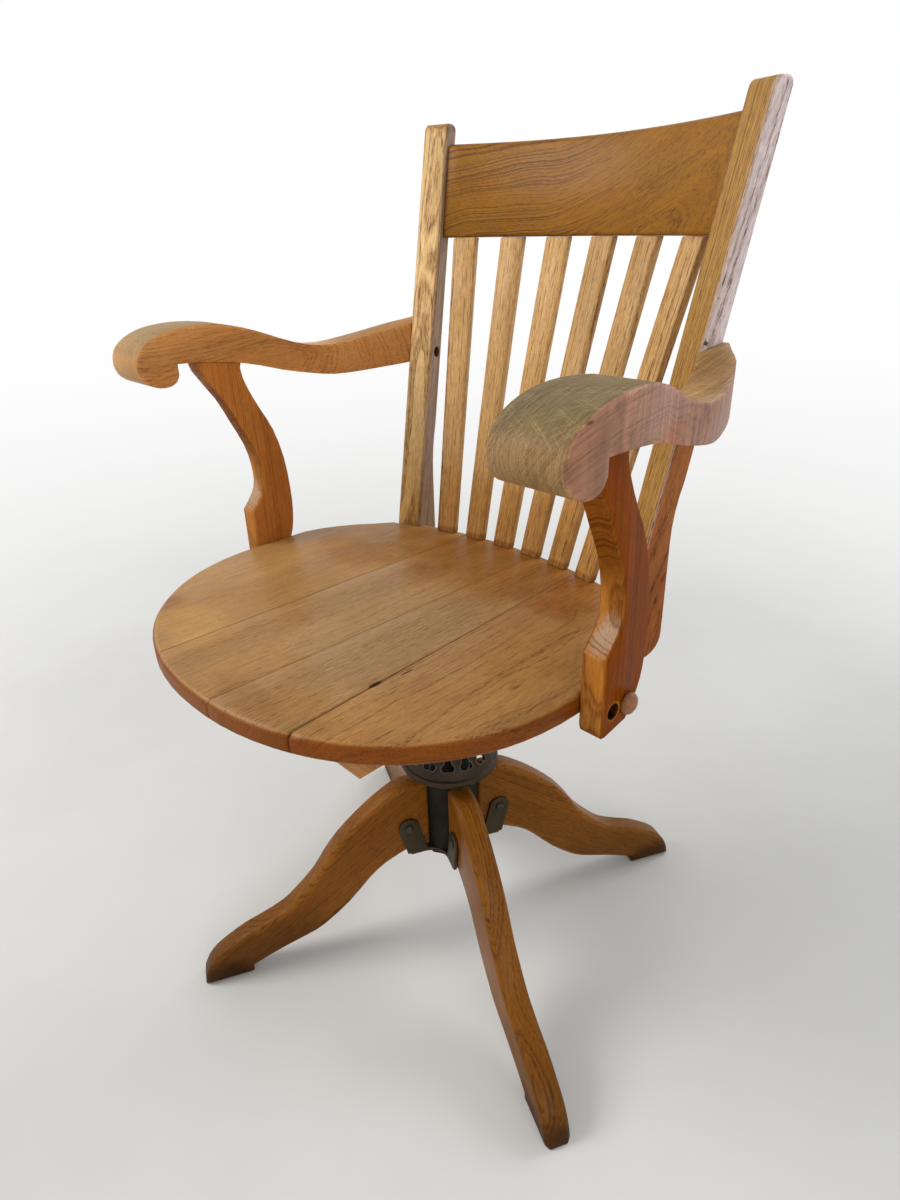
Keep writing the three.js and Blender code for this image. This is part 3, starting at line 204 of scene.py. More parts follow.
def place_group(tree, shared, **sockets):
    """A shared group with its own values. An underscore stands for a space in a socket's name."""
    spaced = {name.replace("_", " "): value for name, value in sockets.items()}
    return put(tree, "ShaderNodeGroup", spaced, node_tree=shared).outputs


def colour(rgb):
    return (*rgb, 1.0)


def grey(level):
    return (level, level, level, 1)


# Effects that several finishes share.

# The wood's noises: grains a metre along the heart and across it, detail, roughness and shift.
WOOD_NOISES = {
    "pores": ((80.0, 900.0, 900.0), 2.0, 0.6, 0.0),
    "streaks": ((44.0, 760.0, 760.0), 2.0, 0.55, 3.1),
    "fibre": ((22.0, 420.0, 420.0), 3.0, 0.6, 1.7),
    "flare": ((4.0, 22.0, 22.0), 3.0, 0.55, 5.3),
    "mottle": ((240.0, 420.0, 420.0), 3.0, 0.65, 6.2),
    "patina": ((9.0, 13.0, 13.0), 5.0, 0.6, 8.1),
}
SLOW_BENDS = (4.0, 15.0, 15.0)
# Through one year's ring, how far the wood is early wood, which is open and rich in pores.
RING_START, RING_END = 1.0, 0.8
RING_LEVELS = ((0.1, 0.85), (0.24, 0.3), (0.42, 0.08), (0.86, 0.05))
# How fast the years change from wide to narrow, a metre outwards, and by how many rings.
YEAR_NOISE, YEAR_SWING = 55.0, 2.2
PATINA_PALE, PATINA_BROWN = (1.05, 1.03, 1.0, 1.0), (0.92, 0.86, 0.76, 1.0)


def make_oak_grain():
    """Year rings round a heart along X at the origin, pores in the early wood, and fine fibres along X."""
    tree, given, out = group(
        "oak grain",
        {
            "Place": ("Vector", None),
            "Pale": ("Color", (0.5, 0.3, 0.14, 1)),
            "Brown": ("Color", (0.3, 0.14, 0.05, 1)),
            "Dark": ("Color", (0.1, 0.04, 0.012, 1)),
            "Ring Width": ("Float", 0.005),
            "Wander": ("Float", 0.02),
            "Figure": ("Float", 0.8),
            "Pores": ("Float", 0.6),
        },
        {"Colour": "Color", "Height": "Float", "Tone": "Float"},
    )
    place = given["Place"]
    slow_place = mapped(tree, place, Scale=SLOW_BENDS)
    sockets = {"Vector": slow_place, "Scale": 1.0, "Detail": 2.5, "Roughness": 0.5}
    slow = put(tree, "ShaderNodeTexNoise", sockets)
    centred = vector_of(tree, "SUBTRACT", slow.outputs["Color"], (0.5, 0.5, 0.5))
    swing = put(tree, "ShaderNodeVectorMath", {0: centred, "Scale": given["Wander"]}, operation="SCALE")
    wandered = vector_of(tree, "ADD", place, swing.outputs["Vector"])
    radius = vector_of(tree, "LENGTH", vector_of(tree, "MULTIPLY", wandered, (0.0, 1.0, 1.0)))
    sockets = {"W": times(tree, radius, YEAR_NOISE), "Detail": 1.0}
    years = put(tree, "ShaderNodeTexNoise", sockets, noise_dimensions="1D").outputs["Fac"]
    even_years = sum_of(tree, "DIVIDE", radius, given["Ring Width"])
    count = sum_of(tree, "MULTIPLY_ADD", years, YEAR_SWING, even_years)
    ramp = put(tree, "ShaderNodeValToRGB", {0: sum_of(tree, "FRACT", count)})
    stops = ramp.color_ramp.elements
    stops[0].position, stops[0].color = 0.0, grey(RING_START)
    stops[1].position, stops[1].color = 1.0, grey(RING_END)
    for at, level in RING_LEVELS:
        stops.new(at).color = grey(level)
    early = ramp.outputs["Color"]

    drawn = {name: noise(tree, place, *how) for name, how in WOOD_NOISES.items()}
    short_pores = spread(tree, drawn["pores"], 0.49, 0.57)
    long_pores = times(tree, spread(tree, drawn["streaks"], 0.51, 0.6), 0.35)
    broken = sum_of(tree, "MAXIMUM", short_pores, long_pores)
    pits = times(tree, broken, sum_of(tree, "MULTIPLY_ADD", early, 0.72, 0.28))
    body = mixed(tree, times(tree, early, given["Figure"]), given["Pale"], given["Brown"])
    pitted = mixed(tree, times(tree, pits, given["Pores"]), body, given["Dark"])

    fibre_tone = spread(tree, drawn["fibre"], 0.3, 0.7, 0.9, 1.09)
    flare_tone = spread(tree, drawn["flare"], 0.3, 0.7, -0.1, 0.1)
    mottle_tone = spread(tree, drawn["mottle"], 0.3, 0.7, -0.07, 0.07)
    tone = sum_of(tree, "ADD", sum_of(tree, "ADD", fibre_tone, flare_tone), mottle_tone)
    level = put(tree, "ShaderNodeCombineColor", {0: tone, 1: tone, 2: tone}).outputs[0]
    aged = mixed(tree, spread(tree, drawn["patina"], 0.36, 0.64), PATINA_PALE, PATINA_BROWN)
    shaded = mixed(tree, 1.0, pitted, level, "MULTIPLY")
    shaded = mixed(tree, 1.0, shaded, aged, "MULTIPLY")
    height = sum_of(tree, "SUBTRACT", times(tree, drawn["fibre"], 0.35), pits)
    height = sum_of(tree, "SUBTRACT", height, times(tree, early, 0.2))
    fill(tree, out, {"Colour": shaded, "Height": height, "Tone": drawn["flare"]})
    return tree


def make_ragged_patch():
    """A ragged patch round a centre, 1 in its middle and 0 beyond its reach."""
    tree, given, out = group(
        "ragged patch",
        {
            "Place": ("Vector", None),
            "Centre": ("Vector", (0, 0, 0)),
            "Reach": ("Vector", (0.1, 0.1, 0.1)),
            "Raggedness": ("Float", 0.6),
            "Softness": ("Float", 0.6),
        },
        {"Mask": "Float"},
    )
    away = vector_of(tree, "SUBTRACT", given["Place"], given["Centre"])
    away = vector_of(tree, "DIVIDE", away, given["Reach"])
    rough = sum_of(tree, "SUBTRACT", noise(tree, given["Place"], 28.0, 4.0, 0.6, 7.7), 0.5)
    far = sum_of(tree, "MULTIPLY_ADD", rough, given["Raggedness"], vector_of(tree, "LENGTH", away))
    inner = sum_of(tree, "SUBTRACT", 1.0, given["Softness"])
    fill(tree, out, {"Mask": spread(tree, far, inner, 1.0, 1.0, 0.0, "SMOOTHSTEP")})
    return tree


def make_facing():
    """1 on faces that look along a direction, 0 on those that look away from it."""
    tree, given, out = group("facing", {"Direction": ("Vector", (0, 0, 1))}, {"Mask": "Float"})
    normal = put(tree, "ShaderNodeTexCoord").outputs["Normal"]
    turned = vector_of(tree, "DOT_PRODUCT", normal, given["Direction"])
    fill(tree, out, {"Mask": spread(tree, turned, 0.55, 0.85, kind="SMOOTHSTEP")})
    return tree


def make_arris_wear_and_highlight():
    """Where the arrises get rubbed, and where a highlight is painted along them: 1 where the rounded normal
    turns away from the face's own, broken up by noise. It gives the rounded normal too."""
    tree, given, out = group(
        "edge wear and highlight",
        {"Place": ("Vector", None), "Width": ("Float", 0.004), "Amount": ("Float", 0.8)},
        {"Mask": "Float", "Normal": "Vector"},
    )
    rounded = put(tree, "ShaderNodeBevel", {"Radius": given["Width"]}, samples=6).outputs[0]
    true_normal = put(tree, "ShaderNodeNewGeometry").outputs["Normal"]
    turned = spread(tree, vector_of(tree, "DOT_PRODUCT", rounded, true_normal), 0.997, 0.9)
    broken = spread(tree, noise(tree, given["Place"], 60.0, 4.0, 0.65), 0.35, 0.6)
    mask = times(tree, times(tree, turned, broken), given["Amount"])
    fill(tree, out, {"Mask": mask, "Normal": rounded})
    return tree


# Three sets of long scratches, by how far each is turned in degrees, and the lines that run along a piece.
SCRATCH_TURNS, SCRATCH_SHIFTS = (24.0, -31.0, 78.0), (0.0, 4.4, 9.1)
SCRATCH_STRETCH, COMB_STRETCH = (26.0, 1500.0, 26.0), (1100.0, 12.0, 12.0)


def make_scratches():
    """Long fine scratches that cross on a top face, and fine lines along a piece and round its end."""
    tree, given, out = group("scratches", {"Place": ("Vector", None)}, {"Lines": "Float", "Comb": "Float"})
    sets = []
    for turn, shift in zip(SCRATCH_TURNS, SCRATCH_SHIFTS):
        lines = noise(tree, given["Place"], SCRATCH_STRETCH, 2.0, 0.55, shift, turn)
        sets.append(spread(tree, lines, 0.56, 0.66))
    crossed = sum_of(tree, "MAXIMUM", sets[0], sets[1])
    crossed = sum_of(tree, "MAXIMUM", crossed, times(tree, sets[2], 0.7))
    comb = spread(tree, noise(tree, given["Place"], COMB_STRETCH, 2.0, 0.6, 2.2), 0.36, 0.64, 0.72, 1.2)
    fill(tree, out, {"Lines": crossed, "Comb": comb})
    return tree


def make_screw_thread():
    """The height of a screw thread round an upright axis."""
    tree, given, out = group(
        "screw thread",
        {"Place": ("Vector", None), "Centre": ("Vector", (0, 0, 0)), "Pitch": ("Float", BOLT_PITCH)},
        {"Height": "Float"},
    )
    away = vector_of(tree, "SUBTRACT", given["Place"], given["Centre"])
    axes = put(tree, "ShaderNodeSeparateXYZ", {0: away}).outputs
    angle = sum_of(tree, "DIVIDE", sum_of(tree, "ARCTAN2", axes["Y"], axes["X"]), 2 * math.pi)
    turns = sum_of(tree, "SUBTRACT", sum_of(tree, "DIVIDE", axes["Z"], given["Pitch"]), angle)
    fill(tree, out, {"Height": times(tree, sum_of(tree, "PINGPONG", turns, 0.5), 2.0)})
    return tree


oak_grain = make_oak_grain()
ragged_patch = make_ragged_patch()
facing_group = make_facing()
edge_wear_and_highlight = make_arris_wear_and_highlight()
scratches = make_scratches()
screw_thread = make_screw_thread()


# Finishes.


def new_material(name):
    made = bpy.data.materials.new(name)
    made.use_nodes = True
    tree = made.node_tree
    tree.nodes.clear()
    shader = put(tree, "ShaderNodeBsdfPrincipled")
    surface = put(tree, "ShaderNodeOutputMaterial", {"Surface": shader.outputs[0]})
    surface.is_active_output = True
    return made, tree, shader


# A worn or dirty place, or a place of painted shade or a painted highlight. Its colour is the wood's times
# tint, only on faces that look towards a direction if one is given.
patch = namedtuple("patch", "centre reach tint share towards ragged soft", defaults=(1.0, None, 0.6, 0.6))


def bump(tree, height, normal, strength, depth):
    sockets = {"Height": height, "Normal": normal, "Strength": strength, "Distance": depth}
    return put(tree, "ShaderNodeBump", sockets).outputs[0]


def main_directions(node):
    """The directions in which a node is longest, next and thinnest, each turned to its positive side."""
    mesh = nodes[node].data
    points = np.empty(len(mesh.vertices) * 3)
    mesh.vertices.foreach_get("co", points)
    points = np.unique(points.reshape(-1, 3).round(5), axis=0)
    directions = np.linalg.eigh(np.cov(points.T))[1].T[::-1]
    return [Vector(row if row[np.abs(row).argmax()] > 0 else -row) for row in directions]


def sawn(node, spot, along=None, face=None, slope=0.0):
    """How a piece lies in its log, with its middle at spot: along the heart, across and out from it."""
    long, wide, thin = main_directions(node)
    along = (along or long).normalized()
    out = (face or thin).normalized()
    across = out.cross(along).normalized()
    out = along.cross(across)
    turn = Matrix.Rotation(math.radians(slope), 3, "Y") @ Matrix((along, across, out))
    low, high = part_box(node)
    middle = (Vector(low) + Vector(high)) / 2
    return tuple(turn.to_euler()), tuple(Vector(spot) - turn @ middle)


# Directions in which some of the sloping faces look.
ARM_TOP = (0, -0.3, 0.954)
ARM_REAR, SCROLL_TOP, SUPPORT_BEND = (0, -0.2, 0.98), (0, -0.35, 0.94), (0, -0.8, 0.6)
POST_OUTSIDE = (0.954, -0.3, 0.0)
SCRATCH_TINT = (1.7, 1.7, 1.8)
VARNISH_TINT = (1.0, 0.84, 0.62)
# The swept grain starts this far before the middle, rises with this power, and loses most of its figure
# within this length.
SWEEP_START, SWEEP_POWER, SWEEP_FADE, SWEEP_FIGURE = 0.05, 1.5, 0.09, 0.12
OAK_RELIEF, OAK_RELIEF_DEPTH = 0.28, 0.4 * MM


def oak(
    name,
    pale,
    brown,
    dark,
    lie,
    ring=0.005,
    wander=0.012,
    figure=0.6,
    pores=0.6,
    gloss=0.42,
    edge=(1.4, 1.55, 1.8),
    edge_amount=0.5,
    edge_width=3.5 * MM,
    faces=(),
    patches=(),
    sweep=0.0,
    scratched=0.0,
    shine=0.14,
    coat=0.05,
):
    """Varnished oak. lie is how the piece lies in its log, and sweep turns the grain up beyond its middle.
    faces gives pale and brown their own values where a face looks towards a direction: painted light on
    that side, a painted sheen on some pieces and a painted lit side on others."""
    made, tree, shader = new_material(name)
    place = object_place(tree)
    along = mapped(tree, place, Rotation=lie[0], Location=lie[1])
    if sweep:
        lengthwise = put(tree, "ShaderNodeSeparateXYZ", {0: along}).outputs["X"]
        beyond = sum_of(tree, "ADD", lengthwise, SWEEP_START)
        rise = sum_of(tree, "POWER", sum_of(tree, "MAXIMUM", beyond, 0.0), SWEEP_POWER)
        lowered = put(tree, "ShaderNodeCombineXYZ", {"Y": times(tree, rise, -sweep)}).outputs[0]
        figure = spread(tree, beyond, 0.0, SWEEP_FADE, figure, figure * SWEEP_FIGURE)
        along = vector_of(tree, "ADD", along, lowered)
    pale, brown = colour(pale), colour(brown)
    # Painted light: each face that looks towards a direction gets its own pale and brown.
    for towards, face_pale, face_brown in faces:
        mask = place_group(tree, facing_group, Direction=towards)["Mask"]
        pale = mixed(tree, mask, pale, colour(face_pale))
        brown = mixed(tree, mask, brown, colour(face_brown))
    wood = place_group(
        tree,
        oak_grain,
        Place=along,
        Pale=pale,
        Brown=brown,
        Dark=colour(dark),
        Ring_Width=ring,
        Wander=wander,
        Figure=figure,
        Pores=pores,
    )
    look = wood["Colour"]
    rough = spread(tree, wood["Tone"], 0.3, 0.7, gloss - 0.06, gloss + 0.08)
    for spot in patches:
        mask = place_group(
            tree,
            ragged_patch,
            Place=place,
            Centre=spot.centre,
            Reach=spot.reach,
            Raggedness=spot.ragged,
            Softness=spot.soft,
        )["Mask"]
        part = times(tree, mask, spot.share)
        if spot.towards:
            facing = place_group(tree, facing_group, Direction=spot.towards)["Mask"]
            part = times(tree, part, facing)
        look = tinted(tree, part, look, colour(spot.tint))
        rough = sum_of(tree, "MULTIPLY_ADD", part, 0.12, rough)
    if scratched:
        marks = place_group(tree, scratches, Place=place)
        lines = times(tree, marks["Lines"], scratched)
        on_top = place_group(tree, facing_group, Direction=ARM_TOP)["Mask"]
        lines = times(tree, lines, on_top)
        look = tinted(tree, lines, look, colour(SCRATCH_TINT))
        combed = put(tree, "ShaderNodeCombineColor", {k: marks["Comb"] for k in range(3)}).outputs[0]
        look = tinted(tree, scratched, look, combed)
    # The arrises' tint: a pale tint, as the default one, paints rubbed wear and a highlight along them; a
    # dark one, as on the seat, darkens them.
    edge_rub_and_highlight = place_group(tree, edge_wear_and_highlight, Place=place, Width=edge_width, Amount=edge_amount)
    look = tinted(tree, edge_rub_and_highlight["Mask"], look, colour(edge))
    finish = {
        "Base Color": look,
        "Roughness": rough,
        "Normal": bump(tree, wood["Height"], edge_rub_and_highlight["Normal"], OAK_RELIEF, OAK_RELIEF_DEPTH),
        "Specular IOR Level": shine,
        "Specular Tint": colour(VARNISH_TINT),
        "Coat Weight": coat,
        "Coat Roughness": 0.2,
    }
    fill(tree, shader, finish)
    return made


# The painted shade inside the handwheel: its colour, and how far it takes to fade out.
INSIDE_SHADE = (0.004, 0.0035, 0.003)
INSIDE_SHADE_FADE = 4 * MM


def iron(name, dark, rust, share=0.5, metallic=0.55, rough=0.62, thread_centre=None, inside_shade=None):
    """Old cast iron or steel: a dark skin with rust coming through it. thread_centre is a place on the axis
    of the tension bolt's thread, and inside_shade is the radius round the swivel axis within which it is
    painted black, a painted shade inside the wheel."""
    made, tree, shader = new_material(name)
    place = object_place(tree)
    blotch = spread(tree, noise(tree, place, 45.0, 5.0, 0.62), 0.42, 0.68)
    fine = noise(tree, place, 420.0, 3.0, 0.6, 2.3)
    rusted = times(tree, blotch, spread(tree, fine, 0.3, 0.7, 0.5, 1.0))
    rusted = times(tree, rusted, share)
    # Paler arrises: rubbed wear and a painted highlight.
    edge_rub_and_highlight = place_group(tree, edge_wear_and_highlight, Place=place, Width=1.2 * MM, Amount=0.5)
    look = mixed(tree, rusted, colour(dark), colour(rust))
    look = mixed(tree, edge_rub_and_highlight["Mask"], look, colour([0.12 + value * 0.6 for value in dark]))
    height, strength, depth = fine, 0.5, 0.4 * MM
    if thread_centre:
        sockets = {"Place": place, "Centre": thread_centre, "Pitch": BOLT_PITCH}
        grooves = place_group(tree, screw_thread, **sockets)["Height"]
        # Darker in the thread's grooves.
        groove_darkening = spread(tree, grooves, 0.0, 0.6, 0.7, 0.0)
        look = mixed(tree, groove_darkening, look, colour([value * 0.25 for value in dark]))
        height, strength, depth = sum_of(tree, "MULTIPLY_ADD", fine, 0.2, grooves), 1.0, 0.7 * MM
    # Painted shade: black within a radius of the swivel axis.
    if inside_shade:
        away = vector_of(tree, "LENGTH", vector_of(tree, "MULTIPLY", place, (1.0, 1.0, 0.0)))
        look = mixed(tree, spread(tree, away, inside_shade, inside_shade + INSIDE_SHADE_FADE, 1.0, 0.0), look, colour(INSIDE_SHADE))
    skin = spread(tree, fine, 0.3, 0.7, rough - 0.1, rough + 0.08)
    finish = {
        "Base Color": look,
        "Specular IOR Level": 0.25,
        "Metallic": sum_of(tree, "MULTIPLY_ADD", rusted, -metallic, metallic),
        "Roughness": sum_of(tree, "MULTIPLY_ADD", rusted, 0.25, skin),
        "Normal": bump(tree, height, edge_rub_and_highlight["Normal"], strength, depth),
    }
    fill(tree, shader, finish)
    return made


def joint_shade_fill():
    """Dark crumbs: the painted shade that fills the seat's open joint."""
    made, tree, shader = new_material("joint_shade_fill")
    crumbs = spread(tree, noise(tree, object_place(tree), (700.0, 300.0, 700.0), 4.0, 0.6), 0.35, 0.65)
    look = mixed(tree, crumbs, colour((0.014, 0.009, 0.005)), colour((0.05, 0.034, 0.02)))
    fill(tree, shader, {"Base Color": look, "Roughness": spread(tree, crumbs, 0.0, 1.0, 0.85, 0.98)})
    return made


# Meshes and pieces: helpers that ease a node's shape, and add what rides on its body.

# How many degrees an edge turns before it is eased or kept sharp.
SHARP_WOOD, SHARP_ARM, SHARP_CAST, SHARP_SCREW, SHARP_WIRE = 32.0, 40.0, 36.0, 30.0, 60.0
# How near two corners lie that are one, in metres, and how little a flat face turns, in degrees.
SAME_PLACE, FLAT_WITHIN = 1e-5, 0.6
WIRE_SIDES = 10


def add_piece(name, mesh, like, material, stands_for=()):
    """A visible piece that rides on the same body as a node, and stands for nodes of the frame if told."""
    body = nodes[like]["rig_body"]
    made = bpy.data.objects.new(name, mesh)
    bpy.context.scene.collection.objects.link(made)
    mesh.materials.clear()
    mesh.materials.append(material)
    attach(made, body)
    if stands_for:
        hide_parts(*stands_for)
    return made


def merged_copy(node):
    """A copy of a node's mesh, with its loose triangles joined and its flat faces made whole."""
    made = bmesh.new()
    made.from_mesh(nodes[node].data)
    bmesh.ops.remove_doubles(made, verts=made.verts, dist=SAME_PLACE)
    bmesh.ops.dissolve_limit(
        made,
        angle_limit=math.radians(FLAT_WITHIN),
        use_dissolve_boundaries=False,
        verts=made.verts,
        edges=made.edges,
    )
    return made


def smooth(mesh, sharp=None):
    """A mesh with smooth faces, but for the edges that turn by more than sharp degrees."""
    mesh.polygons.foreach_set("use_smooth", [True] * len(mesh.polygons))
    if sharp is not None:
        mesh.set_sharp_from_angle(angle=math.radians(sharp))
    return mesh


def finished(holder, sharp):
    """An object's mesh with its modifiers applied and its curved faces smooth. The object is removed."""
    graph = bpy.context.evaluated_depsgraph_get()
    mesh = bpy.data.meshes.new_from_object(holder.evaluated_get(graph))
    start = holder.data
    bpy.data.objects.remove(holder)
    bpy.data.meshes.remove(start)
    return smooth(mesh, sharp)


def holder_of(work, name):
    """An object round a piece of mesh work, for modifiers."""
    mesh = bpy.data.meshes.new(name)
    work.to_mesh(mesh)
    work.free()
    made = bpy.data.objects.new(name, mesh)
    bpy.context.scene.collection.objects.link(made)
    return made


def eased(node, width, steps=2, sharp=SHARP_WOOD):
    """A node's shape with its arrises eased."""
    holder = holder_of(merged_copy(node), node + "_work")
    ease = holder.modifiers.new("ease", "BEVEL")
    ease.limit_method = "ANGLE"
    ease.angle_limit = math.radians(sharp)
    ease.width = width
    ease.segments = steps
    ease.use_clamp_overlap = True
    ease.miter_outer = "MITER_ARC"
    return finished(holder, sharp)


def dress(node, material, slot, **how):
    """Puts a node's eased shape in its place."""
    add_piece(node + "_skin", eased(node, **how), node, material, (node,))


def clothe(node, material):
    """Gives a node that keeps its own mesh a finish."""
    mesh = nodes[node].data
    if not mesh.materials:
        mesh.materials.append(material)
    for index in range(len(mesh.materials)):
        mesh.materials[index] = material


# The seat: four boards, paler where it is sat on, redder at its rim.

# Worn and stained places on its top, and one painted highlight: middle, reach, tint, share and raggedness.
seat_marks = (
    ((-0.1, -0.235), (0.075, 0.04), (1.2, 1.24, 1.15), 0.8, 0.9),
    ((-0.172, -0.235), (0.022, 0.03), (0.7, 0.6, 0.62), 0.7, 0.9),
    ((0.06, -0.12), (0.13, 0.13), (1.0, 1.15, 1.55), 0.8, 0.8),
    # A pale spot: a painted highlight.
    ((0.118, -0.215), (0.035, 0.04), (1.2, 1.26, 1.35), 0.7, 1.0),
    ((0.05, -0.268), (0.06, 0.022), (0.72, 0.66, 0.6), 0.7, 1.0),
    ((0.02, 0.075), (0.22, 0.1), (0.8, 0.59, 0.28), 0.9, 0.8),
    ((-0.145, -0.01), (0.075, 0.05), (0.88, 0.78, 0.55), 0.9, 0.9),
    ((0.13, 0.035), (0.04, 0.04), (0.75, 0.62, 0.5), 0.6, 0.9),
    ((0.18, -0.06), (0.06, 0.07), (0.91, 0.87, 0.74), 0.7, 0.8),
)
MARK_DEPTH = 0.05
CHIP_TINT, RIM_TINT = (0.2, 0.16, 0.14), (0.56, 0.29, 0.05)
seat_places = [
    patch((*middle, SEAT_TOP), (*reach, MARK_DEPTH), tint, share, TOP, ragged)
    for middle, reach, tint, share, ragged in seat_marks
]
# Two chips along the open joint, and the rim, which is redder up to just under the top.
seat_places += [
    patch((0.109, -0.183, SEAT_TOP), (0.0035, 0.009, MARK_DEPTH), CHIP_TINT, 1.0, None, 0.3, 0.4),
    patch((0.1135, -0.152, SEAT_TOP), (0.0013, 0.009, MARK_DEPTH), CHIP_TINT, 1.0, None, 0.3, 0.4),
    patch((0.0, -0.08, 0.466), (1.0, 1.0, 0.0145), RIM_TINT, 1.0, None, 0.05, 0.15),
]
# Each board's pale and brown wood, where it lay in its log, its figure and its pores.
seat_looks = {
    "seat_board_1": ((0.40, 0.222, 0.078), (0.30, 0.145, 0.045), (0.1, 0.13, 0.05), 0.2, 0.45),
    "seat_board_2": ((0.375, 0.208, 0.076), (0.26, 0.125, 0.04), (0.4, 0.10, 0.04), 0.25, 0.7),
    "seat_board_3": ((0.36, 0.20, 0.074), (0.25, 0.12, 0.036), (0.9, 0.11, 0.03), 0.25, 0.8),
    "seat_board_4": ((0.375, 0.19, 0.062), (0.235, 0.10, 0.028), (1.7, 0.03, 0.055), 0.35, 0.85),
}
for board, (pale, brown, spot, figure, pores) in seat_looks.items():
    finish = oak(
        board + "_oak",
        pale,
        brown,
        (0.12, 0.052, 0.018),
        sawn(board, spot, Vector((0, 1, 0)), UP, 1.2),
        ring=0.0055,
        wander=0.03,
        figure=figure,
        pores=pores,
        gloss=0.38,
        edge=(0.8, 0.62, 0.45),
        patches=seat_places,
    )
    dress(board, finish, "oak_seat", width=1.0 * MM)


# The open joint seen from above, as four corners, and the heights between which a dark fill stands for its
# shade.
CRACK_CORNERS = ((0.1137, -0.269), (0.1163, -0.269), (0.0907, 0.112), (0.0899, 0.112))
FILL_LEVELS = (0.463, 0.471)


def crack_shade_fill():
    """A dark block in the seat's open joint, halfway down, so that no light comes through: painted shade.
    """
    work = bmesh.new()
    under, upper = [[work.verts.new((x, y, level)) for x, y in CRACK_CORNERS] for level in FILL_LEVELS]
    work.faces.new(under)
    work.faces.new(upper)
    for k in range(4):
        after = (k + 1) % 4
        work.faces.new((under[k], under[after], upper[after], upper[k]))
    bmesh.ops.recalc_face_normals(work, faces=work.faces)
    return finished(holder_of(work, "crack_dust_work"), SHARP_SCREW)


add_piece("crack_shade_fill", crack_shade_fill(), "seat_board_3", joint_shade_fill())

# The back: two posts, a crest rail and six slats.

# Each post's wood, how it lay in its log, its face that looks to the right with a painted sheen, and its
# worn places, one of which keeps the right post's painted sheen to the top of its outer face.
post_looks = {
    "left": {
        "wood": ((0.69, 0.48, 0.23), (0.36, 0.19, 0.066), (0.15, 0.07, 0.028)),
        "spot": (0.2, 0.004, 0.022),
        "slope": 2.6,
        "grain": {"ring": 0.0062, "wander": 0.02, "figure": 0.7},
        # A painted sheen, pale mauve, on the left post's inner face.
        "face": ((0.31, 0.215, 0.16), (0.2, 0.135, 0.105)),
        "patches": (
            patch((-0.16, 0.12, 0.46), (0.1, 0.1, 0.13), (0.8, 0.66, 0.42), 0.8),
            patch((-0.2, 0.22, 0.93), (0.1, 0.1, 0.012), (0.7, 0.6, 0.5), 0.8),
        ),
    },
    "right": {
        "wood": ((0.42, 0.235, 0.064), (0.22, 0.103, 0.024), (0.11, 0.045, 0.014)),
        "spot": (0.7, 0.12, 0.004),
        "slope": 0.4,
        "grain": {"ring": 0.0022, "wander": 0.006, "figure": 1.0, "edge": (1.05, 1.05, 1.05)},
        # A painted reflection, pale lavender, on the right post's outer face.
        "face": ((0.71, 0.62, 0.65), (0.6, 0.49, 0.5)),
        "patches": (
            # The outer face is brown again below about the arm's height: the lavender painted reflection
            # stays on its top.
            patch((0.2, 0.1, 0.44), (0.3, 0.3, 0.27), (0.5, 0.205, 0.056), 1.0, POST_OUTSIDE, 0.2, 0.2),
            patch((0.2, 0.12, 0.44), (0.1, 0.1, 0.1), (0.8, 0.68, 0.5), 0.8),
        ),
    },
}
for side, sign in SIDES:
    how = post_looks[side]
    # Nearly black in and round each post's screw hole: painted shade.
    hole = patch((0.1722 * sign, 0.1551, 0.686), (0.0085,) * 3, (0.1,) * 3, 1.0, None, 0.0, 0.1)
    forward = Vector((-0.3007 * sign, -0.9537, 0.0))
    rise = UP - forward * 0.3
    broad_face = (0.954, -0.3 * sign, 0.0)
    post_oak = oak(
        f"post_{side}_oak",
        *how["wood"],
        sawn("post_" + side, how["spot"], rise, forward, how["slope"]),
        pores=0.95,
        faces=((broad_face, *how["face"]),),
        patches=(*how["patches"], hole),
        **how["grain"],
    )
    dress("post_" + side, post_oak, "oak_back", width=2.2 * MM, steps=3)

crest_oak = oak(
    "crest_oak",
    (0.288, 0.123, 0.012),
    (0.135, 0.048, 0.007),
    (0.07, 0.026, 0.007),
    sawn("crest_rail", (0.0, 0.12, 0.05), Vector(RIGHT), Vector((0, -0.975, 0.222)), 0.5),
    ring=0.0072,
    wander=0.034,
    figure=0.95,
    pores=0.7,
    sweep=1.1,
    patches=(patch((0.02, 0.2, 0.84), (0.09, 0.1, 0.035), (1.12, 1.1, 1.0), 0.6),),
)
dress("crest_rail", crest_oak, "oak_back", width=1.2 * MM)

for count in range(1, 7):
    slat = f"slat_{count}"
    low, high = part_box(slat)
    foot = ((low[0] + high[0]) / 2, 0.11, SEAT_TOP + 3 * MM)
    shade = 1.0 - 0.05 * ((count * 2) % 3)
    spot = (0.41 * count, 0.07 + 0.006 * count, 0.045 - 0.007 * count)
    slat_oak = oak(
        slat + "_oak",
        (0.6 * shade, 0.368 * shade, 0.155 * shade),
        (0.41 * shade, 0.218 * shade, 0.077 * shade),
        (0.12, 0.055, 0.02),
        sawn(slat, spot, slope=0.4 * math.sin(count * 2.3)),
        ring=0.0052,
        wander=0.009,
        figure=0.6,
        pores=1.0,
        patches=(
            patch((0.0, 0.11, 0.5), (0.4, 0.1, 0.09), (0.82, 0.68, 0.45), 0.85, None, 0.9),
            # A thin darker band at the slat's foot, where it meets the seat: painted shade.
            patch(foot, (0.3, 0.3, 0.006), (0.6, 0.5, 0.4), 0.8),
        ),
    )
    dress(slat, slat_oak, "oak_back", width=1.0 * MM)

# The arms, their supports and the plugs over the supports' screws.

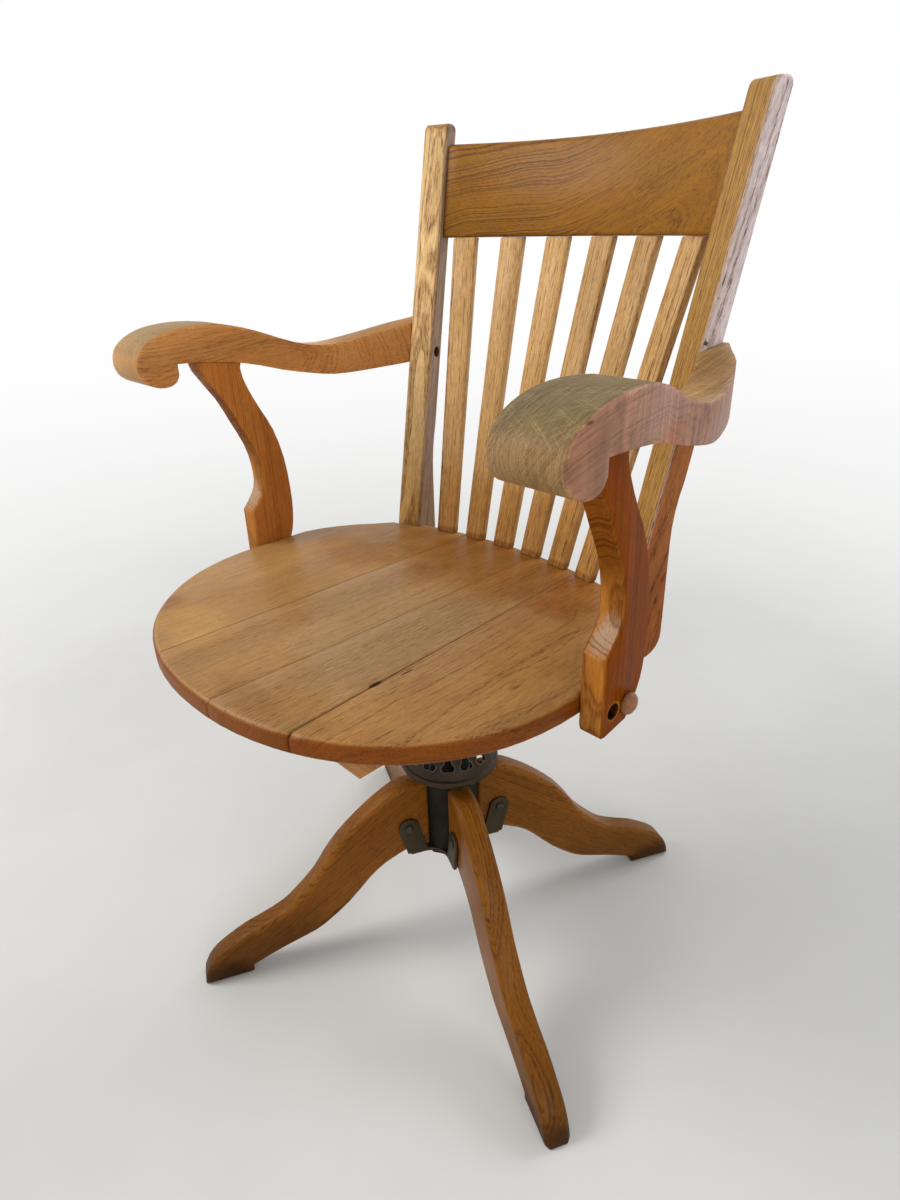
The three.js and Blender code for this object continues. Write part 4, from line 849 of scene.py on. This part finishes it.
# Each arm's wood, its slope in its log, the colours painted on its faces that look to the right, a painted
# sheen, and the tint of its scroll.
arm_looks = {
    "left": {
        "wood": ((0.58, 0.325, 0.125), (0.35, 0.17, 0.057)),
        "slope": 2.0,
        "face": ((0.55, 0.25, 0.076), (0.36, 0.145, 0.038)),
        "scroll": (0.6, 0.7, 0.82),
        "grain": {"ring": 0.0036, "figure": 0.35, "pores": 0.55, "scratched": 0.15},
    },
    "right": {
        "wood": ((0.35, 0.22, 0.098), (0.23, 0.135, 0.055)),
        "slope": 14.0,
        "face": ((0.33, 0.165, 0.105), (0.2, 0.1, 0.072)),
        "scroll": (0.51, 0.62, 0.67),
        "grain": {"ring": 0.0052, "figure": 0.5, "pores": 0.5, "scratched": 0.85},
    },
}
support_looks = {
    "left": {"pale": (0.47, 0.172, 0.038), "brown": (0.3, 0.098, 0.019), "figure": 0.45, "pores": 0.35},
    "right": {"pale": (0.225, 0.05, 0.0), "brown": (0.145, 0.03, 0.0), "figure": 0.7, "pores": 0.5},
}
# A dark dent in the outer face of the right arm's scroll.
DENT = (0.302, -0.1655, 0.7275)


def dress_arm(side, sign):
    how = arm_looks[side]
    over_support, before_post = 0.272 * sign, 0.26 * sign
    finish = oak(
        f"arm_{side}_oak",
        *how["wood"],
        (0.115, 0.05, 0.022),
        sawn("arm_" + side, (0.2, 0.12 * sign, 0.03), Vector((0, 1, 0)), UP, how["slope"]),
        wander=0.016,
        # Painted light on the faces that look to the right: a pinkish painted sheen on the right arm's
        # outer face, a redder painted side on the left arm's inner face.
        faces=((RIGHT, *how["face"]),),
        patches=(
            patch((over_support, -0.12, 0.74), (0.09, 0.12, 0.06), how["scroll"], 1.0, SCROLL_TOP, 0.4),
            patch((over_support, -0.18, 0.72), (0.1, 0.05, 0.06), (0.82, 0.82, 0.86), 0.85, FRONT, 0.5),
            patch((over_support, -0.05, 0.69), (0.03, 0.05, 0.02), (1.15, 0.9, 0.6), 0.8, RIGHT),
            patch((before_post, 0.02, 0.705), (0.04, 0.045, 0.03), (0.8, 0.74, 0.74), 0.7, RIGHT, 0.9),
            patch((before_post, 0.12, 0.72), (0.1, 0.09, 0.05), (0.66, 0.58, 0.46), 0.9, ARM_REAR, 0.5),
            patch(DENT, (0.0022, 0.0055, 0.0018), (0.3, 0.26, 0.26), 0.85, None, 0.5, 0.7),
        ),
        # Pale arrises: rubbed wear and a painted highlight.
        edge=(1.75, 1.7, 1.65),
        edge_amount=1.0,
        edge_width=7.0 * MM,
        **how["grain"],
    )
    dress("arm_" + side, finish, "oak_arm", width=1.2 * MM, sharp=SHARP_ARM)


def dress_support(side, sign):
    low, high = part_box(f"arm_support_screw_front_{side}")
    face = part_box("arm_support_" + side)[1 if sign > 0 else 0][0]
    rim_of_hole = (face, (low[1] + high[1]) / 2, (low[2] + high[2]) / 2)
    bend = (0.258 * sign, -0.09, 0.543)
    finish = oak(
        f"support_{side}_oak",
        dark=(0.08, 0.026, 0.006),
        lie=sawn("arm_support_" + side, (0.1, 0.012, 0.085), UP, Vector(FRONT), 1.0),
        ring=0.0058,
        wander=0.025,
        gloss=0.36,
        # Pale arrises: rubbed wear and a painted highlight.
        edge=(1.5, 1.8, 2.2),
        edge_amount=0.6,
        # The front faces get their own colour, painted light: on the right support the front is painted
        # much paler than its dark side.
        faces=((FRONT, (0.42, 0.165, 0.028), (0.17, 0.05, 0.008)),),
        shine=0.03,
        coat=0.03,
        patches=(
            patch((0.25 * sign, -0.07, 0.635), (0.05, 0.08, 0.085), (0.5, 0.39, 0.25), 1.0, FRONT, 0.4),
            # A pale patch at the bend, on faces that look up and forward: rubbed wear and a painted
            # highlight.
            patch(bend, (0.02, 0.04, 0.026), (1.05, 1.8, 7.0), 0.95, SUPPORT_BEND, 0.5, 0.4),
            patch((0.255 * sign, -0.06, 0.445), (0.05, 0.06, 0.02), (0.75, 0.7, 0.65), 0.7),
            # A pale violet ring round the screw hole's rim, a painted highlight, and inside the hole a
            # painted shade, nearly black.
            patch(rim_of_hole, (0.002, 0.0105, 0.0105), (2.0, 4.0, 30.0), 0.8, (sign, 0, 0), 1.2, 0.3),
            patch(rim_of_hole, (0.1, 0.0078, 0.0078), (0.12, 0.1, 0.1), 1.0, None, 0.0, 0.1),
        ),
        **support_looks[side],
    )
    dress("arm_support_" + side, finish, "oak_arm", width=1.2 * MM)


def dress_plug(side, sign):
    finish = oak(
        f"plug_{side}_oak",
        (0.26, 0.12, 0.055),
        (0.16, 0.07, 0.03),
        (0.08, 0.035, 0.016),
        sawn("support_plug_" + side, (0.3, 0.02, 0.03), Vector((0, 1, 0)), Vector((sign, 0, 0))),
        ring=0.003,
        gloss=0.3,
    )
    dress("support_plug_" + side, finish, "oak_arm", width=0.6 * MM)


for side, sign in SIDES:
    dress_arm(side, sign)
    dress_support(side, sign)
    dress_plug(side, sign)

# The legs, darker and dirty towards their soles.

for count in range(1, 5):
    leg = f"leg_{count}"
    heading = math.radians(FIRST_LEG_HEADING + 90 * (count - 1))
    out = Vector((math.cos(heading), math.sin(heading), 0.0))
    beside = UP.cross(out)
    # Each leg is darker towards its foot, leg 4 more so.
    foot_darkening = (0.55, 0.54, 0.5) if count == 4 else (0.7, 0.72, 0.72)
    leg_oak = oak(
        leg + "_oak",
        (0.225, 0.082, 0.008),
        (0.135, 0.038, 0.003),
        (0.05, 0.017, 0.005),
        sawn(leg, (0.5 * count, 0.06 + 0.01 * count, 0.05), face=beside),
        ring=0.0036,
        wander=0.014,
        figure=0.55,
        pores=0.8,
        gloss=0.3,
        # Pale arrises: rubbed wear and a painted highlight.
        edge=(1.9, 2.0, 2.2),
        edge_amount=0.9,
        edge_width=6.0 * MM,
        shine=0.08,
        coat=0.07,
        patches=(
            patch(tuple(out * 0.3), (0.07, 0.07, 0.04), (0.26, 0.26, 0.3), 0.9),
            patch(tuple(out * 0.24), (0.13, 0.13, 0.1), foot_darkening, 0.85),
            # Top faces near the hub paler: a painted highlight.
            patch(tuple(out * 0.1 + UP * 0.21), (0.07, 0.07, 0.03), (1.15, 1.2, 1.3), 0.5, TOP),
        ),
    )
    dress(leg, leg_oak, "oak_leg", width=3.2 * MM, steps=3)

for batten, spot in (("seat_batten_front", 0.1), ("seat_batten_rear", 0.5)):
    batten_oak = oak(
        batten + "_oak",
        (0.42, 0.20, 0.06),
        (0.28, 0.12, 0.034),
        (0.1, 0.04, 0.014),
        sawn(batten, (spot, 0.08, 0.05), Vector(RIGHT), UP),
    )
    dress(batten, batten_oak, "oak_hidden", width=1.0 * MM)

# The ironwork.

cast_iron = iron("cast_iron", (0.01, 0.008, 0.004), (0.04, 0.022, 0.011), share=0.35)
# The handwheel is painted black within 34 mm of the swivel axis: painted shade.
wheel_iron = iron("wheel_iron", (0.03, 0.019, 0.010), (0.07, 0.036, 0.018), 0.35, rough=0.52, inside_shade=34 * MM)
bead_iron = iron("bead_iron", (0.06, 0.048, 0.036), (0.09, 0.055, 0.034), share=0.3, rough=0.46)
tab_iron = iron("tab_iron", (0.044, 0.033, 0.015), (0.085, 0.045, 0.018), share=0.45, rough=0.52)
screw_steel = iron("screw_steel", (0.055, 0.048, 0.04), (0.1, 0.05, 0.028), metallic=0.7, rough=0.5)
bare_steel = iron("bare_steel", (0.17, 0.16, 0.15), (0.13, 0.075, 0.045), 0.35, 0.85, 0.42)
# The tension bolt hangs on the spring's axis.
bolt_axis = (0.0, SPRING_AXIS_Y, 0.0)
bolt_steel = iron("bolt_steel", (0.15, 0.14, 0.13), (0.12, 0.07, 0.04), 0.35, 0.85, 0.42, bolt_axis)

for casting in ("hub_casing", "base_nut", "yoke", "seat_iron", "tension_knob"):
    dress(casting, cast_iron, "iron_casting", width=0.8 * MM, sharp=SHARP_CAST)
dress("handwheel", wheel_iron, "iron_casting", width=0.7 * MM, sharp=SHARP_CAST)


def wire_tree():
    """A round wire along a line of edges, repeated round the swivel axis."""
    tree = bpy.data.node_groups.new("wire round an axis", "GeometryNodeTree")
    takes = {"Geometry": "Geometry", "Wire": "Float", "Count": "Int", "Finish": "Material"}
    for label, kind in takes.items():
        tree.interface.new_socket(label, in_out="INPUT", socket_type=f"NodeSocket{kind}")
    tree.interface.new_socket("Geometry", in_out="OUTPUT", socket_type="NodeSocketGeometry")
    given = put(tree, "NodeGroupInput").outputs
    outline = put(tree, "GeometryNodeMeshToCurve", {"Mesh": given["Geometry"]}).outputs["Curve"]
    sockets = {"Resolution": WIRE_SIDES, "Radius": given["Wire"]}
    ring = put(tree, "GeometryNodeCurvePrimitiveCircle", sockets).outputs["Curve"]
    sockets = {"Curve": outline, "Profile Curve": ring, "Fill Caps": True}
    bead = put(tree, "GeometryNodeCurveToMesh", sockets).outputs["Mesh"]
    sockets = {"Count": given["Count"], "Offset": (0.0, 0.0, 0.0)}
    spots = put(tree, "GeometryNodeMeshLine", sockets).outputs["Mesh"]
    step = sum_of(tree, "DIVIDE", 2 * math.pi, given["Count"])
    angle = times(tree, put(tree, "GeometryNodeInputIndex").outputs[0], step)
    turn = put(tree, "ShaderNodeCombineXYZ", {"Z": angle}).outputs[0]
    sockets = {"Points": spots, "Instance": bead, "Rotation": turn}
    set_out = put(tree, "GeometryNodeInstanceOnPoints", sockets).outputs["Instances"]
    real = put(tree, "GeometryNodeRealizeInstances", {"Geometry": set_out}).outputs["Geometry"]
    sockets = {"Geometry": real, "Material": given["Finish"]}
    done = put(tree, "GeometryNodeSetMaterial", sockets).outputs["Geometry"]
    put(tree, "NodeGroupOutput", {"Geometry": done})
    return tree


wire_nodes = wire_tree()


def wired(name, dots, closed, thickness, count, finish):
    """A wire along a row of places, made by the tree and given back as a plain mesh."""
    work = bmesh.new()
    verts = [work.verts.new(dot) for dot in dots]
    for here, there in zip(verts, verts[1:] + verts[: int(closed)]):
        work.edges.new((here, there))
    holder = holder_of(work, name + "_line")
    grown = holder.modifiers.new("wire", "NODES")
    grown.node_group = wire_nodes
    values = {"Wire": thickness, "Count": count, "Finish": finish}
    for item in wire_nodes.interface.items_tree:
        if item.in_out == "INPUT" and item.name in values:
            grown[item.identifier] = values[item.name]
    return finished(holder, SHARP_WIRE)


# The handwheel's openings: how many, the radius of their three lobes and how far those lie from the middle.
OPENINGS, LOBE, LOBE_OUT = 14, 4.9 * MM, 3.8 * MM
# Their middle on the sloping band, as radius and height, and the way up the band, which leans inwards.
BAND_RADIUS, BAND_LEVEL = 47.35 * MM, 269.0 * MM
BAND_INWARD, BAND_UPWARD = -0.579, 0.815
BEAD = 0.9 * MM
OUTLINE_STEPS = 72


def lobed_reach(angle):
    """How far an opening's edge lies from its middle, in a direction."""
    reach = 0.0
    for k in range(3):
        towards = math.pi / 2 + 2 * math.pi * k / 3 - angle
        inside = LOBE**2 - (LOBE_OUT * math.sin(towards)) ** 2
        if inside > 0:
            reach = max(reach, LOBE_OUT * math.cos(towards) + math.sqrt(inside))
    return reach


def wheel_beads():
    """The raised bead round each three-lobed opening of the handwheel, wrapped onto its sloping band."""
    quarter_pitch = 2 * math.pi * 0.25 / OPENINGS
    dots = []
    for step in range(OUTLINE_STEPS):
        angle = 2 * math.pi * step / OUTLINE_STEPS
        reach = lobed_reach(angle)
        side, rise = reach * math.cos(angle), reach * math.sin(angle)
        out = BAND_RADIUS + BAND_INWARD * rise
        turn = side / out + quarter_pitch
        dots.append((out * math.cos(turn), out * math.sin(turn), BAND_LEVEL + BAND_UPWARD * rise))
    return wired("wheel_beads", dots, True, BEAD, OPENINGS, bead_iron)


# The tilt spring's foot is as high as the knob can lift the cup's floor, so there is a gap at rest.
COIL_TURNS, COIL_STEPS = 5.5, 176
COIL_RADIUS, COIL_WIRE, COIL_FOOT = 12.0 * MM, 2.0 * MM, 351.5 * MM
COIL_GAP = 0.1 * MM
CUP_RIM, CUP_WALL, CUP_EASE = 5.8 * MM, 1.4 * MM, 0.4 * MM
CUP_STEPS = 48


def spring_coil():
    """The tilt spring round its bolt, up to the yoke, with its end turns close."""
    length = YOKE_UNDERSIDE - COIL_GAP - COIL_FOOT
    dots = []
    for step in range(COIL_STEPS + 1):
        share = step / COIL_STEPS
        turn = 2 * math.pi * COIL_TURNS * share
        rise = (length - 2 * COIL_WIRE) * (share - math.sin(2 * math.pi * share) / (4 * math.pi))
        across, forth = COIL_RADIUS * math.cos(turn), COIL_RADIUS * math.sin(turn)
        dots.append((across, forth + SPRING_AXIS_Y, COIL_FOOT + COIL_WIRE + rise))
    return wired("spring_coil", dots, False, COIL_WIRE, 1, bare_steel)


def rimmed_cup():
    """The spring's cup: the frame's washer, with a rim round the spring's foot that hides its gap."""
    corners = [vert.co for vert in nodes["spring_cup"].data.vertices]
    points = [(math.hypot(corner.x, corner.y - SPRING_AXIS_Y), corner.z) for corner in corners]
    bore, reach = min(points)[0], max(points)[0]
    under, floor = min(z for _, z in points), max(z for _, z in points)
    rim, inside = floor + CUP_RIM, reach - CUP_WALL
    outline = [(bore, under), (reach - 2 * CUP_EASE, under), (reach, under + 2 * CUP_EASE)]
    outline += [(reach, rim - CUP_EASE), (reach - CUP_EASE, rim), (inside, rim)]
    outline += [(inside, floor + CUP_EASE), (inside - CUP_EASE, floor), (bore, floor)]
    work = bmesh.new()
    rings = []
    for step in range(CUP_STEPS):
        angle = 2 * math.pi * step / CUP_STEPS
        places = [(out * math.cos(angle), out * math.sin(angle) + SPRING_AXIS_Y, z) for out, z in outline]
        rings.append([work.verts.new(place) for place in places])
    for here, there in zip(rings, rings[1:] + rings[:1]):
        for k in range(len(outline)):
            after = (k + 1) % len(outline)
            work.faces.new((here[k], there[k], there[after], here[after]))
    bmesh.ops.recalc_face_normals(work, faces=work.faces)
    return finished(holder_of(work, "rimmed_cup_work"), SHARP_SCREW)


sprung = "tension_spring"
spring = add_piece("spring_coil", spring_coil(), sprung, bare_steel, (sprung,))
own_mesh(spring)
add_piece("rimmed_cup", rimmed_cup(), "spring_cup", screw_steel, ("spring_cup",))
add_piece("handwheel_beads", wheel_beads(), "handwheel", bead_iron)
dress("star_plate", tab_iron, "iron_casting", width=0.8 * MM, sharp=SHARP_CAST)


# The screws: the width and depth of the driver's slot.
SLOT_WIDTH, SLOT_DEPTH = 1.3 * MM, 1.1 * MM


def slotted(node):
    """A screw with a driver's slot across its head, which is its wider end."""
    long, wide, _ = main_directions(node)
    work = merged_copy(node)
    places = [vert.co.copy() for vert in work.verts]
    reach = [place.dot(long) for place in places]
    middle = (min(reach) + max(reach)) / 2
    low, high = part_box(node)
    centre = (Vector(low) + Vector(high)) / 2
    widths = {}
    for end in (-1, 1):
        half = [place for place, far in zip(places, reach) if (far - middle) * end > 0]
        widths[end] = max((place - centre - long * (place - centre).dot(long)).length for place in half)
    end = max(widths, key=widths.get)
    head = centre + long * end * (max(reach) - middle)
    across = long.cross(wide)
    turn = Matrix((wide, across, long)).transposed().to_4x4()
    shape = Matrix.Diagonal((4 * widths[end], SLOT_WIDTH, 2 * SLOT_DEPTH, 1.0))
    cutter = bmesh.new()
    bmesh.ops.create_cube(cutter, size=1.0, matrix=Matrix.Translation(head) @ turn @ shape)
    blade = holder_of(cutter, node + "_slot")
    holder = holder_of(work, node + "_work")
    cut = holder.modifiers.new("slot", "BOOLEAN")
    cut.object, cut.operation, cut.solver = blade, "DIFFERENCE", "EXACT"
    mesh = finished(holder, SHARP_SCREW)
    bpy.data.objects.remove(blade)
    return mesh


for row in frame["record"]["subparts"]:
    node, slot = row["node"], row["material_slot"]
    if slot == "steel_screw" and "_screw" in node:
        add_piece(node + "_slotted", slotted(node), node, screw_steel, (node,))
for node in ("swivel_sleeve", "thrust_washer", "pivot_pin", "bolt_pin"):
    clothe(node, bare_steel)
clothe("tension_bolt", bolt_steel)


# A nail's end near this place: its radius, how many mm its middle lies in the wood, and how flat it is.
PIN_NEAR = (0.1964, 0.1453, 0.7263)
PIN_RADIUS, PIN_SUNK, PIN_FLAT = 2.1 * MM, 0.4, 0.35


def post_pin():
    """The end of a nail that holds the crest rail, in the outer face of the right post."""
    post = nodes["post_right"].data
    corners, faces = [vert.co for vert in post.vertices], [face.vertices for face in post.polygons]
    spot, normal, _, _ = BVHTree.FromPolygons(corners, faces).find_nearest(Vector(PIN_NEAR))
    work = bmesh.new()
    turn = normal.to_track_quat("Z", "Y").to_matrix().to_4x4()
    flattened = Matrix.Diagonal((1, 1, PIN_FLAT, 1))
    place = Matrix.Translation(spot - normal * PIN_SUNK * MM) @ turn @ flattened
    bmesh.ops.create_uvsphere(work, u_segments=20, v_segments=10, radius=PIN_RADIUS, matrix=place)
    mesh = bpy.data.meshes.new("post_pin")
    work.to_mesh(mesh)
    work.free()
    return smooth(mesh)


add_piece("post_pin", post_pin(), "post_right", screw_steel)


# The height screw in mm: its radius, its thread's depth, and its keyway's half width, floor and top.
ROD, THREAD_DEPTH = 14.3, 2.0
KEY_HALF_WIDTH, KEY_FLOOR, KEY_TOP = 2.5, 11.3, 352
# Columns round it outside the keyway, rows to each turn of the thread, and its flanks' share of the pitch.
ROD_COLUMNS, ROWS_A_TURN, FLANK = 64, 12, 0.07
# Radians between the keyway and the columns beside it.
KEY_EDGE = 0.002
SHARP_THREAD = 35


def threaded_spindle():
    """The height screw: a square thread on a rod, with a keyway down its front."""
    radius, depth = ROD * MM, THREAD_DEPTH * MM
    key_half, key_floor, key_top = math.asin(KEY_HALF_WIDTH / ROD), KEY_FLOOR * MM, KEY_TOP * MM
    (_, _, low), (_, _, high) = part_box("screw_spindle")
    front = -math.pi / 2
    around = 2 * math.pi - 2 * key_half - 2 * KEY_EDGE
    columns = [front + key_half + KEY_EDGE + k * around / (ROD_COLUMNS - 1) for k in range(ROD_COLUMNS)]
    columns += [front + key_half * share for share in (-0.999, -0.5, 0.0, 0.5, 0.999)]
    columns.sort()
    rows = int((high - low) / SPINDLE_PITCH * ROWS_A_TURN)
    verts, faces = [], []
    for row in range(rows + 1):
        z = low + (high - low) * row / rows
        end = min(z - low, high - z)
        for angle in columns:
            phase = (z / SPINDLE_PITCH - angle / (2 * math.pi)) % 1.0
            groove = min(max((0.25 - abs(phase - 0.5)) / FLANK, 0.0), 1.0)
            r = min(radius - depth * groove, radius - depth + end)
            off = (angle - front + math.pi) % (2 * math.pi) - math.pi
            if abs(off) < key_half and z < key_top:
                r = min(r, key_floor / math.cos(off))
            verts.append((r * math.cos(angle), r * math.sin(angle), z))
    count = len(columns)
    for row in range(rows):
        for k in range(count):
            here, there = row * count + k, row * count + (k + 1) % count
            faces.append((here, there, there + count, here + count))
    faces.append(tuple(reversed(range(count))))
    faces.append(tuple(range(rows * count, (rows + 1) * count)))
    mesh = bpy.data.meshes.new("threaded_spindle")
    mesh.from_pydata(verts, [], faces)
    return smooth(mesh, SHARP_THREAD)


rod = "screw_spindle"
add_piece("threaded_spindle", threaded_spindle(), rod, screw_steel, (rod,))


# The studio: a pale floor that fades to white, three soft lamps and an even sky.

FLOOR_RADIUS, FLOOR_DROP = 14.0, 0.5 * MM
# One over the distance from its middle where the floor starts to turn white, and where it is all white.
FADE_STARTS, FADE_ENDS = 1.1, 0.12
# Each lamp's place, width in metres, watts and colour. All of them look at the chair's middle.
LAMPS = {
    "window": ((-1.6, -1.9, 2.3), 1.6, 62, (1.0, 0.98, 0.95)),
    "fill": ((2.2, -1.0, 1.6), 1.8, 18, (1, 1, 1)),
    "behind": ((0.6, 2.3, 2.2), 1.4, 26, (0.97, 0.98, 1.0)),
}
CHAIR_MIDDLE = (0, 0, 0.5)
SKY_STRENGTH = 0.5


def lay_floor():
    sheet = bpy.data.meshes.new("floor")
    work = bmesh.new()
    bmesh.ops.create_circle(work, cap_ends=True, segments=96, radius=FLOOR_RADIUS)
    work.to_mesh(sheet)
    work.free()
    floor = bpy.data.objects.new("floor", sheet)
    floor.location.z = -FLOOR_DROP
    bpy.context.scene.collection.objects.link(floor)
    made, tree, shader = new_material("pale_floor")
    place = object_place(tree)
    mottle = spread(tree, noise(tree, place, 2.0, 5.0, 0.6), 0.3, 0.7)
    shade = mixed(tree, mottle, (0.60, 0.60, 0.58, 1), (0.66, 0.66, 0.64, 1))
    fill(tree, shader, {"Base Color": shade, "Roughness": 0.7})
    nearness = sum_of(tree, "DIVIDE", 1.0, vector_of(tree, "LENGTH", place))
    far = spread(tree, nearness, FADE_STARTS, FADE_ENDS, kind="SMOOTHSTEP")
    white = put(tree, "ShaderNodeEmission", {"Color": grey(1.0), "Strength": 1.0})
    blend = put(tree, "ShaderNodeMixShader", {0: far, 1: shader.outputs[0], 2: white.outputs[0]})
    surface = next(node for node in tree.nodes if node.type == "OUTPUT_MATERIAL")
    fill(tree, surface, {"Surface": blend.outputs[0]})
    sheet.materials.append(made)


def hang_lamps():
    for name, (place, size, watts, tint) in LAMPS.items():
        light = bpy.data.lights.new(name, "AREA")
        light.shape, light.size, light.energy, light.color = "DISK", size, watts, tint
        made = bpy.data.objects.new(name, light)
        made.location = place
        made.rotation_euler = (Vector(CHAIR_MIDDLE) - Vector(place)).to_track_quat("-Z", "Y").to_euler()
        bpy.context.scene.collection.objects.link(made)


def paint_sky():
    """A pale sky for diffuse rays, and a white one for what is seen straight, mirrored or through."""
    world = bpy.data.worlds.new("studio")
    world.use_nodes = True
    tree = world.node_tree
    tree.nodes.clear()
    path = put(tree, "ShaderNodeLightPath").outputs
    sky = put(tree, "ShaderNodeBackground", {"Color": grey(1.0), "Strength": SKY_STRENGTH})
    seen = put(tree, "ShaderNodeBackground", {"Color": grey(1.0), "Strength": 1.0})
    share = sum_of(tree, "MAXIMUM", path["Is Camera Ray"], path["Is Transmission Ray"])
    share = sum_of(tree, "MAXIMUM", share, path["Is Glossy Ray"])
    both = put(tree, "ShaderNodeMixShader", {0: share, 1: sky.outputs[0], 2: seen.outputs[0]})
    put(tree, "ShaderNodeOutputWorld", {"Surface": both.outputs[0]})
    bpy.context.scene.world = world


lay_floor()
hang_lamps()
paint_sky()
bpy.context.scene.view_settings.view_transform = "Standard"
